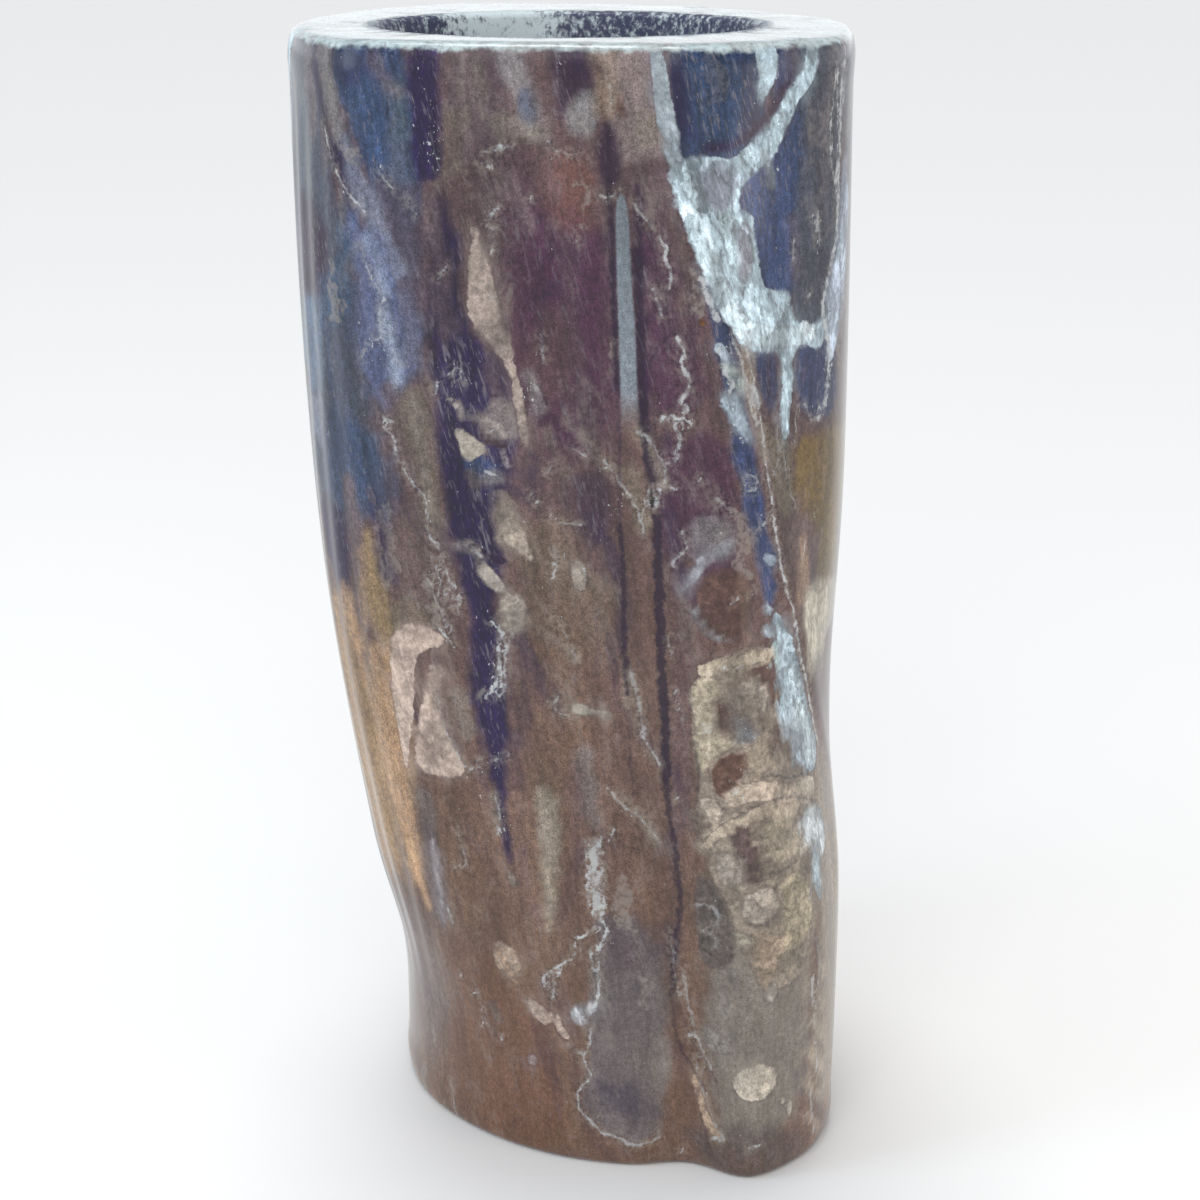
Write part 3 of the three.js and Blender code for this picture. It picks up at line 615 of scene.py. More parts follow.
# What lies on those patches, or apart from them
DETAILS = [
    # the chambers of the big shell, from the top down
    ((168, 156, 140), 0, 0.7, [(25.6, 239), (28, 242), (31, 243.6), (34.5, 244.6), (37.6, 243)], 6.0),
    ((92, 74, 70), 0, 0.9, [(31, 238), (35, 240), (38.4, 240.5), (39.4, 230), (38.8, 219), (37.4, 220),
     (37, 230), (34, 236.5)]),
    ((146, 137, 128), 0, 0.8, [(30.6, 233), (33.5, 236), (36.4, 232), (37, 225), (36, 218.5), (33.4, 217),
     (30.6, 220), (29.8, 227)]),
    ((88, 70, 68), 0, 0.7, [(26.6, 226), (28.6, 225), (29.6, 217), (29.2, 212), (27.8, 213), (27, 219)]),
    ((122, 126, 132), 0.3, 1.4, [(29.6, 221), (33, 216), (34.4, 209), (31.6, 207), (30, 211)]),
    ((156, 146, 130), 0, 1.0, [(24.4, 236), (27.8, 236), (29, 229), (26.6, 225), (26.8, 215), (28.4, 209),
     (31, 206), (28, 203), (26.2, 198), (25.8, 191), (24.6, 189), (24.4, 200), (23.8, 214), (23.4, 226)]),
    ((140, 130, 118), 0, 1.6, [(30, 205), (34, 206), (37, 203), (37, 194), (34, 193), (32, 196)]),
    ((90, 72, 66), 0, 0.7, [(26.4, 196), (28.4, 201.5), (31.4, 205.5), (31.2, 196), (30.2, 187), (28.2, 181),
     (27, 185)]),
    ((92, 74, 68), 0, 0.9, [(37.8, 214), (39.2, 212), (40, 202), (38.6, 198), (37.6, 204)]),
    ((164, 151, 138), 0, 0.8, [(29.4, 182.5), (32, 185.4), (36, 184.6), (40, 180), (44.5, 176),
     (48, 172)], 8.5),
    ((158, 146, 132), 0, 0.8, [(25.4, 158), (27, 166), (29.6, 172), (33, 175.6), (38, 174.6),
     (42, 171)], 6.5),
    ((166, 154, 142), 0, 0.8, [(25, 181), (27.4, 180), (28.4, 175), (26.8, 168), (25, 172)]),
    ((152, 142, 128), 0, 1.0, [(33.4, 170), (38, 172), (43, 166), (43.4, 152), (38, 149.6), (34.4, 153),
     (33.2, 160)]),
    ((90, 78, 76), 0, 0.8, [(29.2, 172), (31, 172.5), (32.4, 164), (33.4, 152), (33.2, 143), (31.4, 142),
     (30.6, 152), (29, 163)]),
    ((136, 128, 120), 0, 0.9, [(26.8, 157), (30, 157), (30.4, 143), (27.8, 141)]),
    ((160, 152, 140), 0, 0.8, [(43.4, 183), (50, 181), (50.5, 170), (44.6, 174)]),
    ((180, 186, 190), 0.9, 1.0, [(44, 168), (51, 168), (54, 150), (50, 140), (45, 150)]),
    ((148, 140, 130), 0, 1.0, [(41, 161), (45.4, 157), (46, 148), (42, 148)]),
    ((170, 184, 192), 0.8, 1.4, [(46, 148), (49, 150), (49, 124), (46.6, 126)]),
    ((162, 152, 142), 0, 0.8, [(33.2, 142), (36, 140), (36.6, 132), (34.8, 125.4), (31.8, 125), (30.2, 130),
     (30.8, 138)]),
    ((152, 142, 124), 0, 1.4, [(37, 144), (43, 143), (45, 128), (44, 114), (40, 106), (37, 112), (38, 126)]),
    ((160, 144, 128), 0, 0.9, [(31.6, 120), (34, 121), (38, 114), (36.4, 108), (34.6, 98), (33, 92),
     (32.4, 100), (31.8, 110)]),
    ((84, 74, 72), 0, 0.7, [(32.4, 131), (34.6, 132.4)], 1.8),
    ((140, 134, 122), 0, 0.9, [(28.6, 120), (30.6, 122), (31.4, 116), (29.6, 112)]),
    ((88, 82, 80), 0, 1.2, [(24.6, 146), (27.4, 140), (29, 126), (29, 104), (25.6, 100), (24.4, 124)]),
    # the hole and the pit by the rod, and small dark spots
    ((92, 74, 70), 0, 0.7, [(22.3, 289), (23.7, 288.5), (24, 285), (22.7, 284), (22, 286.5)]),
    ((42, 36, 40), 0, 0.7, [(15.8, 318), (17.2, 318), (17.6, 313), (16.9, 309), (15.9, 311)]),
    ((92, 78, 74), 0, 0.7, [(9.9, 474.5), (11.2, 474), (11, 471.5), (10, 472)]),
    ((112, 78, 52), 0, 0.6, [(23.6, 391), (24.4, 391.4), (24.6, 388.6), (23.8, 388.4)]),
    # the blobs and blotches round the arc, and the brown disc in it
    ((92, 74, 70), 0, 1.4, [(24.4, 276), (26, 284), (31, 284), (34, 276), (34, 262), (30, 252), (26, 254),
     (24.4, 264)]),
    ((132, 134, 136), 0.3, 0.9, [(24, 265), (25.4, 258), (27.4, 254), (29.4, 253.4)], 3.0),
    ((190, 202, 214), 0.9, 0.8, [(37.6, 264), (38.6, 262)], 4.0),
    ((196, 208, 220), 0.9, 0.8, [(37.6, 254), (39, 252)], 5.0),
    ((150, 166, 168), 0.7, 0.8, [(39.6, 246), (40.4, 236)], 4.0),
    ((196, 210, 216), 0.95, 1.4, [(46, 213), (48, 204), (49.4, 195), (49.6, 188)], 8.0),
    ((188, 204, 212), 0.9, 1.2, [(44, 233), (45, 224)], 5.0),
    # the fossil low on the left, and the small ones round the foot
    ((152, 130, 112), 0, 0.8, [(-18.6, 100), (-16, 92), (-14, 85)], 2.4),
    ((118, 108, 102), 0, 1.0, [(-21, 70), (-19, 64)], 4.0),
    ((126, 112, 104), 0, 1.0, [(-24, 62), (-21, 56)], 3.0),
    # bent shells on the dark band, and crystals along the ridge above it
    ((144, 136, 132), 0, 1.4, [(-20.2, 347), (-18, 345), (-15.6, 343), (-14.8, 339)], 3.4),
    ((142, 136, 136), 0.1, 1.0, [(-25.4, 290), (-22.6, 290.6), (-20.6, 288)], 3.0),
    ((166, 160, 152), 0.3, 0.7, [(-22.6, 292), (-22.2, 289)], 2.0),
    ((150, 144, 140), 0.2, 1.0, [(-26, 354), (-24, 352), (-23.4, 347)], 2.4),
    ((140, 134, 136), 0.2, 1.0, [(-15, 332), (-13.8, 326)], 2.0),
    ((172, 186, 200), 0.9, 0.9, [(26.8, 379.5), (28, 375)], 4.0),
    ((162, 172, 170), 0.7, 1.2, [(28.4, 371), (30.4, 366), (31, 361)], 5.0),
    ((180, 184, 188), 0.8, 0.9, [(33.2, 361), (34.2, 355)], 3.0),
    ((196, 206, 212), 0.9, 0.9, [(46, 383), (47.6, 379)], 6.0),
    # the crystal's bright left edge and its shaded middle
    ((190, 206, 214), 1.0, 1.4, [(19.8, 450), (21.4, 438), (24, 420), (26.8, 402), (30, 388), (36, 381),
     (42, 380), (46, 379)], 8.0),
    ((176, 194, 202), 1.0, 1.2, [(26.6, 446), (28.4, 440), (28, 428), (30, 414)], 5.0),
    ((140, 146, 158), 0.9, 2.0, [(23.4, 454), (31, 453), (30, 436), (27.4, 432), (24, 440)]),
    ((142, 144, 154), 0.9, 1.6, [(31.4, 430), (33.4, 425), (33.6, 408), (31, 404), (30.2, 418)]),
    # dark gaps between the shells of the band
    ((66, 46, 52), 0, 0.7, [(-19.4, 340), (-18, 336.4), (-14.6, 335.4)], 2.2),
    ((62, 46, 50), 0, 0.8, [(-22, 291), (-20.4, 289)], 2.0),
    ((56, 46, 64), 0, 0.8, [(-17.6, 286), (-15, 284)], 3.0),
    # white crystals in the dark wedge between the two arms
    ((160, 172, 178), 0.8, 1.2, [(36, 456), (37.5, 450), (38, 443)], 2.4),
]


def straight_shell(tip, mouth, half_width, septa):
    """The outline of a long chambered cone, and its chamber walls, between two places."""
    (tip_angle, tip_run), (mouth_angle, mouth_run) = tip, mouth
    side = half_width / 2.0
    outline = [(tip_angle, tip_run), (mouth_angle - side, mouth_run), (mouth_angle, mouth_run + half_width),
               (mouth_angle + side, mouth_run)]
    walls = []
    for k in range(1, septa + 1):
        share = (k / (septa + 1)) ** 0.8
        middle = (tip_angle + (mouth_angle - tip_angle) * share, tip_run + (mouth_run - tip_run) * share)
        reach = side * share * 0.92
        sag = half_width * share * 0.35 * math.copysign(1, tip_run - mouth_run)
        walls.append([(middle[0] - reach, middle[1]), (middle[0], middle[1] + sag),
                      (middle[0] + reach, middle[1])])
    return outline, walls


def share_of(number, step):
    """A value from 0 to 1 that jumps about evenly as the number grows."""
    return (number * step) % 1


def oval(turn, height, half_width, half_height, lean):
    """The outline of an oval about a place; the lean is in degrees of angle from foot to top."""
    corners = []
    for k in range(8):
        way = math.pi * k / 4
        size = 0.8 + 0.4 * share_of(k + turn, 0.37)
        up = math.sin(way) * size
        corners.append((turn + math.cos(way) * size * half_width / 2 + up * lean, height + up * half_height))
    return corners


# Broad streaks round the sides and the back, where the rock was laid down in leaning beds
BEDS = (NIGHT, MAUVE, DEEP, STEEL, OLIVE, PURPLE_BROWN, NAVY, PINK_GREY, BLUE_GREY, OCHRE, NIGHT, BEIGE)
UNSEEN = 68                    # degrees where the made-up sides and back start
for number in range(34):
    turn = UNSEEN + 218 * share_of(number, 0.6180)
    foot = 430 * share_of(number, 0.7548)
    top = foot + 70 + 110 * share_of(number, 0.5698)
    bend = 5 * share_of(number, 0.41) - 2.5
    ZONES.append((BEDS[number % len(BEDS)], 2 + 3 * share_of(number, 0.29), 0.75,
                  [(turn, foot), (turn + bend, (foot + top) / 2), (turn - 3, top)],
                  4 + 12 * share_of(number, 0.83)))

# Sections of small shells all over the sides and the back
SECTIONS = (SHELL, TAN, PINK_SHELL, PALE_GREY, CALCITE)
for number in range(46):
    turn = UNSEEN + 220 * share_of(number, 0.5698)
    height = 24 + 440 * share_of(number, 0.8192)
    width = 2.5 + 5.5 * share_of(number, 0.6711) ** 2
    length = width * (1 + 2 * share_of(number, 0.31))
    lean = 2 - 4 * share_of(number, 0.47)
    PATCHES.append((SECTIONS[number % len(SECTIONS)], 0.3, 1.2, oval(turn, height, width, length, lean)))

# Calcite that fills gashes in the back, the left side and the right side
PATCHES += [
    (CALCITE, 1.0, 0.8, [(152, 512), (156, 480), (153, 452), (147, 430), (150, 410), (156, 384), (164, 366),
     (168, 352), (162, 352), (152, 366), (146, 388), (142, 416), (140, 436), (146, 458), (148, 484),
     (146, 512)]),
    (CALCITE, 1.0, 0.8, [(284, 512), (280, 490), (276, 470), (272, 440), (266, 420), (262, 396), (266, 392),
     (272, 410), (279, 430), (283, 462), (288, 490), (291, 512)]),
    (CALCITE, 0.9, 0.8, [(92, 300), (96, 286), (95, 262), (99, 240), (102, 222), (98, 220), (92, 240),
     (89, 262), (88, 284)]),
]

# A vein low on the back, and beside it a big chambered shell
PATCHES += [
    (CALCITE, 0.9, 0.8, [(204, 226), (208, 204), (207, 178), (212, 152), (217, 128), (214, 104), (218, 78),
     (215, 76), (209, 102), (211, 128), (206, 150), (202, 178), (203, 204)]),
    ((134, 124, 113), 0.1, 1.4, oval(180, 104, 32, 52, 4)),
]
for number in range(5):
    height = 64 + 18 * number
    DETAILS.append(((156, 146, 133), 0, 1.2, [(168, height), (180, height + 6), (192, height - 3)], 3.4))
    DETAILS.append(((104, 90, 84), 0, 1.6, oval(180, height + 14, 15, 3.5, 1)))

# Long cones on the right side, the back and the left side
CONES = [
    straight_shell((98, 130), (84, 330), 11, 11),
    straight_shell((126, 440), (141, 250), 12, 10),
    straight_shell((150, 90), (162, 210), 9, 8),
    straight_shell((206, 470), (196, 300), 10, 10),
    straight_shell((232, 120), (222, 330), 13, 12),
    straight_shell((258, 430), (270, 310), 8, 8),
    straight_shell((121, 60), (110, 200), 12, 10),
    straight_shell((246, 30), (254, 150), 9, 8),
]
PATCHES += [(SHELL if k % 2 else TAN, 0.2, 1.2, outline) for k, (outline, walls) in enumerate(CONES)]

# Thin light lines: (width in mm, strength, line)
PALE_LINES = [
    # the right vein
    (2.6, 0.75, [(55.5, 510), (55.6, 470), (55.4, 430), (55, 415), (53, 405), (51.5, 395), (51, 388),
     (52, 380), (53.5, 372), (53.8, 365), (53.5, 355), (53, 348), (51.2, 342)]),
    (1.1, 0.75, [(53, 500), (53, 480), (52.2, 468), (51.8, 458), (53, 447), (54.6, 436), (55, 424)]),
    (1.2, 0.8, [(57.6, 505), (57, 488), (57.4, 474)]),
    (1.0, 0.5, [(49, 430), (49.6, 420)]),
    (1.0, 0.5, [(43, 420), (42.8, 412)]),
    (0.9, 0.6, [(46.5, 350), (47.5, 346), (49, 340), (50.5, 343), (51, 348)]),
    (0.8, 0.5, [(44.5, 352), (43.8, 333)]),
    # the ridge's crisp edge
    (1.3, 0.85, [(35.5, 340), (36, 330), (37, 320), (37.8, 310), (38.5, 300), (39.3, 290), (40.5, 278),
     (43.5, 260), (45.8, 240), (48.5, 225), (50.5, 210), (52, 200), (54, 190)]),
    (0.9, 0.7, [(31.6, 384), (33, 368), (34.6, 352), (35.6, 338)]),
    (0.7, 0.5, [(40, 338), (41.5, 325), (43, 312), (44.5, 306)]),
    (0.7, 0.4, [(39, 345), (39.3, 328), (38.5, 324)]),
    (1.0, 0.5, [(33, 324), (34.4, 323), (34.6, 320), (33.5, 318), (32.6, 321), (33, 324)]),
    (1.0, 0.6, [(33, 316.5), (34.2, 317)]),
    (0.9, 0.5, [(35, 298), (36, 301), (37, 306)]),
    # along the rod and right of it
    (1.4, 0.7, [(17.4, 424), (18.6, 419), (18.2, 413), (19.6, 409), (19, 403)]),
    (1.2, 0.45, [(12.8, 437), (14.6, 431), (16, 428)]),
    (1.0, 0.5, [(6, 440.4), (8, 439.4), (10, 442.4)]),
    (1.0, 0.45, [(16.4, 402), (17.4, 396), (18, 391)]),
    (1.6, 0.7, [(20.6, 383), (21.8, 377), (21, 371), (22.8, 366), (22.2, 358), (20.8, 357), (22.6, 353),
     (21.4, 350), (23, 347)]),
    (1.8, 0.75, [(18.2, 348), (19.6, 350), (21, 348.6)]),
    (1.4, 0.5, [(20, 347), (21.6, 340), (20.2, 335), (21.2, 331), (18.8, 328.6)]),
    (1.2, 0.7, [(19.2, 323), (19.6, 318.6), (20.8, 319)]),
    (2.0, 0.6, [(26.8, 378), (28.4, 374), (27.6, 369), (29.6, 365), (29, 360)]),
    (2.4, 0.7, [(23.6, 408), (25, 400), (26.4, 391)]),
    (1.4, 0.5, [(29, 384), (31, 372), (32.6, 356), (34, 346)]),
    (1.2, 0.45, [(7, 330), (8.5, 326), (10, 321), (11.5, 317), (13, 312), (14.5, 305), (15, 298)]),
    (0.9, 0.5, [(0, 336), (3, 332)]),
    (1.0, 0.45, [(13.5, 343), (15, 341), (16.5, 337), (18, 332), (19, 325), (18.8, 320)]),
    (1.0, 0.7, [(16, 318.5), (17.3, 318.3), (17.8, 313), (17, 308.6), (15.8, 310.5), (15.6, 315),
     (16, 318.5)]),
    (1.1, 0.55, [(14.5, 209), (16, 205), (17, 200), (18.5, 195)]),
    (1.0, 0.5, [(8, 183), (11, 175), (14.5, 170), (17, 163), (18, 158)]),
    (1.2, 0.6, [(19.6, 253), (20.3, 245)]),
    (2.2, 0.35, [(12.5, 236), (14, 224), (15, 212)]),
    # the squiggle on the dark band
    (1.5, 0.75, [(-15, 254), (-16.5, 247), (-16.8, 240), (-17, 231), (-18, 226), (-19.5, 222)]),
    (1.2, 0.7, [(-13.5, 252), (-15, 245), (-15.2, 235), (-15, 226), (-17, 222)]),
    (1.2, 0.8, [(-18.5, 257), (-15, 252)]),
    (1.2, 0.7, [(-22, 291), (-20, 286)]),
    (1.2, 0.6, [(-19, 324), (-16.5, 322)]),
    (1.0, 0.6, [(-24, 368), (-23.5, 362)]),
    (1.2, 0.45, [(-18, 193), (-15, 196)]),
    # hairlines of the left flank
    (1.0, 0.75, [(-52, 465), (-50.5, 459), (-49.5, 452), (-48, 446), (-46.5, 441), (-44.5, 436), (-42, 431)]),
    (0.9, 0.7, [(-43, 416), (-41.5, 406), (-40, 400), (-38.5, 395)]),
    (0.8, 0.6, [(-39.3, 393), (-39.8, 388), (-39.3, 384)]),
    (0.8, 0.6, [(-39, 379), (-41, 378), (-43, 374), (-44, 369)]),
    (1.0, 0.65, [(-40, 344), (-38, 343)]),
    (1.0, 0.7, [(-40, 340), (-38, 337), (-37.5, 330), (-36.5, 325), (-35.5, 320), (-34.5, 317), (-32.5, 313),
     (-31.5, 310), (-31.5, 297), (-31, 293), (-29.5, 290), (-29.5, 284), (-28.5, 280), (-27, 275),
     (-25.5, 271), (-25, 265)]),
    (0.9, 0.5, [(-39, 449), (-36.5, 441)]),
    (0.9, 0.5, [(-34, 437), (-32, 431)]),
    (0.9, 0.5, [(-28, 405), (-26, 410)]),
    # the top of the front
    (0.9, 0.6, [(-4.5, 462), (-4, 459), (-2.5, 457.5), (1.5, 456)]),
    (0.9, 0.5, [(-12, 460), (-14, 458), (-18, 456.5)]),
    (0.9, 0.5, [(-19, 452), (-16, 451)]),
    (1.6, 0.3, [(7, 499), (8.5, 478)]),
    (0.8, 0.35, [(0.5, 424), (1.5, 421)]),
    (1.4, 0.3, [(-6.5, 382), (-6, 372)]),
    (2.2, 0.25, [(-8, 362), (-6, 352)]),
    # the middle
    (0.9, 0.8, [(2.5, 284), (3, 278)]),
    (1.0, 0.5, [(-2.5, 303), (0, 302), (2, 302)]),
    (0.8, 0.6, [(-3, 225), (-4.3, 222), (-4.5, 219), (-3, 217.5), (-0.5, 216)]),
    (0.7, 0.35, [(-4, 261), (-1, 252), (1, 242)]),
    (1.2, 0.5, [(22, 300), (23, 295), (22.5, 291), (20.5, 288), (20.5, 284)]),
    (1.3, 0.35, [(27.5, 315), (30, 308)]),
    # the pink shell's thin bright rim
    (1.0, 0.5, [(-31, 221), (-30.8, 212), (-29.6, 203), (-27.6, 197), (-25.8, 189)]),
    # beside the walls of the big shell
    (1.1, 0.6, [(25.2, 213.5), (26, 216), (27, 213.5), (26, 211), (25.2, 213.5)]),
    (1.0, 0.5, [(27.5, 239.5), (31, 241), (35, 241.6)]),
    (0.9, 0.5, [(38.6, 203), (40, 206), (41, 210)]),
    # small marks: the hatching beside the dark band, the ring coil, the crease, the foot
    (1.2, 0.7, [(-29.6, 252), (-28, 248), (-26.6, 244)]),
    (0.9, 0.4, [(-31, 285), (-29, 272), (-27, 262)]),
    (0.9, 0.4, [(-29, 290), (-27.6, 276), (-25.6, 260)]),
    (1.0, 0.45, [(-32, 276), (-30, 262), (-27, 252)]),
    (1.0, 0.45, [(-18, 176), (-17, 168), (-17.6, 158)]),
    (1.6, 0.3, [(24.4, 130), (26.4, 132), (28, 126), (26.6, 121)]),
    (1.6, 0.3, [(25.4, 119), (27.4, 117), (27, 112)]),
    (1.2, 0.4, [(22.8, 100), (23.4, 84), (24.6, 68), (26.6, 52)]),
    (1.4, 0.3, [(24.6, 56), (25.4, 44), (26.6, 30), (28, 18)]),
    (1.0, 0.35, [(20.4, 116), (21.4, 98), (22, 84)]),
    (1.4, 0.5, [(46, 108), (47.4, 96), (46.4, 84)]),
    (1.2, 0.5, [(45, 80), (46.4, 70), (45.4, 58)]),
    (1.4, 0.5, [(44, 40), (45.4, 24), (46, 10)]),
    # the crack bundle at the bottom
    (5.0, 0.6, [(4.8, 158), (5, 144), (5, 130), (5.4, 122)]),
    (1.5, 0.95, [(3, 158), (3.2, 150), (3.6, 140), (3, 133), (3.5, 128), (5, 122)]),
    (1.6, 0.9, [(6, 156), (7, 145), (7.3, 135), (6.8, 128), (6, 122)]),
    (1.2, 0.7, [(4.6, 154), (5.2, 146), (4.6, 138), (5.8, 130), (6, 124)]),
    (1.0, 0.6, [(9, 165), (8.5, 161)]),
    (1.4, 0.85, [(5.5, 122), (5, 118), (3.5, 115), (1.5, 112), (0.3, 111), (0.8, 107), (0.3, 103), (-1, 100),
     (-2.5, 98), (-3.5, 97), (-3.5, 93)]),
    (1.5, 0.85, [(6, 122), (7.3, 119), (7.5, 115), (7, 112), (5.6, 108), (5.4, 100), (5.6, 92), (5.4, 84),
     (4.4, 79)]),
    (1.1, 0.7, [(4, 107), (4.2, 102), (4, 99), (5, 97), (5.4, 94)]),
    (1.3, 0.75, [(-3.5, 97), (-4.6, 94.5), (-6.6, 92), (-7.2, 88.5), (-6.6, 86)]),
    (1.2, 0.65, [(-5, 93), (-4.4, 89), (-4.2, 84), (-5, 80)]),
    (1.1, 0.65, [(4, 68), (3.6, 62), (3, 57), (2, 54), (2.8, 50), (3.6, 46), (3.9, 43.5), (2.6, 41),
     (1.3, 38), (0.8, 34), (1.3, 28), (1.6, 25), (3.5, 23), (5.5, 18), (7.5, 16), (9.5, 16), (10.5, 14.5)]),
    (0.9, 0.45, [(2.2, 54), (0.8, 56), (-1.2, 58)]),
    (1.4, 0.45, [(10.5, 14.5), (12, 12), (16, 12), (17.8, 14), (18.2, 18)]),
    (0.9, 0.35, [(-28, 158), (-26, 140)]),
    (1.0, 0.5, [(-29.5, 137), (-27.5, 139)]),
    (0.9, 0.45, [(-38, 21), (-36.6, 10), (-35.5, 2)]),
    (1.4, 0.35, [(-47, 40), (-46, 33)]),
    # the right edge
    (1.6, 0.6, [(44.5, 90), (45, 74), (46, 58), (46.8, 42)]),
    # veins of the right side, the back and the left side
    (2.0, 0.8, [(76, 510), (80, 460), (88, 420), (90, 380), (98, 340), (100, 300), (108, 262)]),
    (1.2, 0.6, [(90, 380), (84, 350), (82, 320)]),
    (1.2, 0.6, [(98, 340), (106, 322), (110, 296), (118, 270)]),
    (1.0, 0.5, [(70, 210), (76, 190), (78, 160), (86, 132), (88, 100), (96, 70)]),
    (2.6, 0.8, [(154, 512), (150, 470), (156, 430), (152, 396), (160, 352), (166, 320), (164, 280),
     (172, 236)]),
    (1.4, 0.7, [(156, 430), (164, 408), (168, 380), (176, 356)]),
    (1.2, 0.6, [(164, 280), (156, 262), (152, 230), (144, 206), (140, 170)]),
    (1.0, 0.6, [(172, 236), (178, 210), (176, 178), (184, 150), (186, 110), (194, 70), (196, 30)]),
    (1.8, 0.7, [(228, 512), (224, 478), (230, 440), (226, 404), (234, 372), (238, 330)]),
    (1.1, 0.6, [(234, 372), (244, 352), (246, 320), (254, 290), (256, 250)]),
    (1.1, 0.55, [(214, 250), (208, 222), (212, 190), (206, 150), (210, 110)]),
    (1.4, 0.6, [(276, 505), (280, 470), (276, 430), (284, 392), (282, 350), (288, 316)]),
    (1.0, 0.5, [(268, 220), (272, 190), (268, 160), (276, 130), (280, 90)]),
]
PALE_LINES += [(1.1, 0.75, wall) for outline, walls in CONES for wall in walls]

# Fine pale cracks that wander up the sides and the back
for number in range(26):
    turn = UNSEEN + 220 * share_of(number, 0.7548)
    height = 20 + 420 * share_of(number, 0.6180)
    crack = [(turn + 5 * share_of(number + k, 0.43) + k * (share_of(number, 0.57) - 0.5) * 4, height + 9 * k)
             for k in range(4 + number % 5)]
    PALE_LINES.append((0.8 + 0.6 * share_of(number, 0.37), 0.6, crack))

# Short bright flecks: (angle, run, length along the run, lean across it in degrees of angle)
FLECKS = [
    (-15.5, 434, 2, 1), (-16.6, 431, 1, 1.4), (-17.2, 428, 2, 0.6), (-18, 430, 1, 0.4), (-16, 426, 1, 0.6),
    (-16.5, 417, 1, 0.6), (-16.5, 398, 1, 0.8), (-13, 461, 1, 0.8), (-15, 459, 1, 1), (-23.6, 366, 3, 0.6),
    (-22.8, 363, 3, 0.4), (-26, 365, 1, 0.3), (-28.6, 358, 3, 0.2), (-16.8, 342, 3, 1.6), (-5, 325, 3, 0.8),
    (-9, 314, 1, 0.4), (-7.6, 311, 2, 0.6), (-5, 305, 1, 0.8), (-3.6, 285, 1, 1.4), (-3.8, 280, 3, 0.6),
    (-30.6, 80, 3, 0.6), (-26, 74, 2, 2), (-24, 67, 2, 0.6), (-24.6, 58, 2, 0.4), (-18.6, 55, 3, 0.2),
    (-21.4, 193, 1, 0.4), (-21.8, 187, 1, 0.3), (-23.6, 188, 1, 1), (21.5, 221, 2, 0.4),
    (21.3, 179, 1, 0.5), (21, 228, 3, 0.5), (29, 190, 1, 0.3), (30, 185, 1, 0.4), (24, 66, 3, 1),
    (27.4, 18, 2, 1), (22.6, 8, 3, 0.6), (28.6, 84, 4, 0.3), (31, 82, 3, 0.6), (32, 17, 1, 2),
    (47.6, 428, 2, 0.2), (48.4, 422, 3, 0.2), (49, 418, 2, 0.2), (47, 396, 1, 0.3), (50.6, 300, 1, 0.5),
    (47.6, 287, 3, 0.3), (46.6, 281, 2, 0.3), (27.6, 299, 1, 1), (30.6, 270, 2, 1), (34.6, 272, 2, 1.2),
    (24.6, 323, 2, 0.2), (18.4, 319, 2, 0.4), (-8.4, 438, 1, 0.4),
]
PALE_LINES += [(1.0, 0.75, [(turn - lean / 2, height - length / 2), (turn + lean / 2, height + length / 2)])
               for turn, height, length, lean in FLECKS]

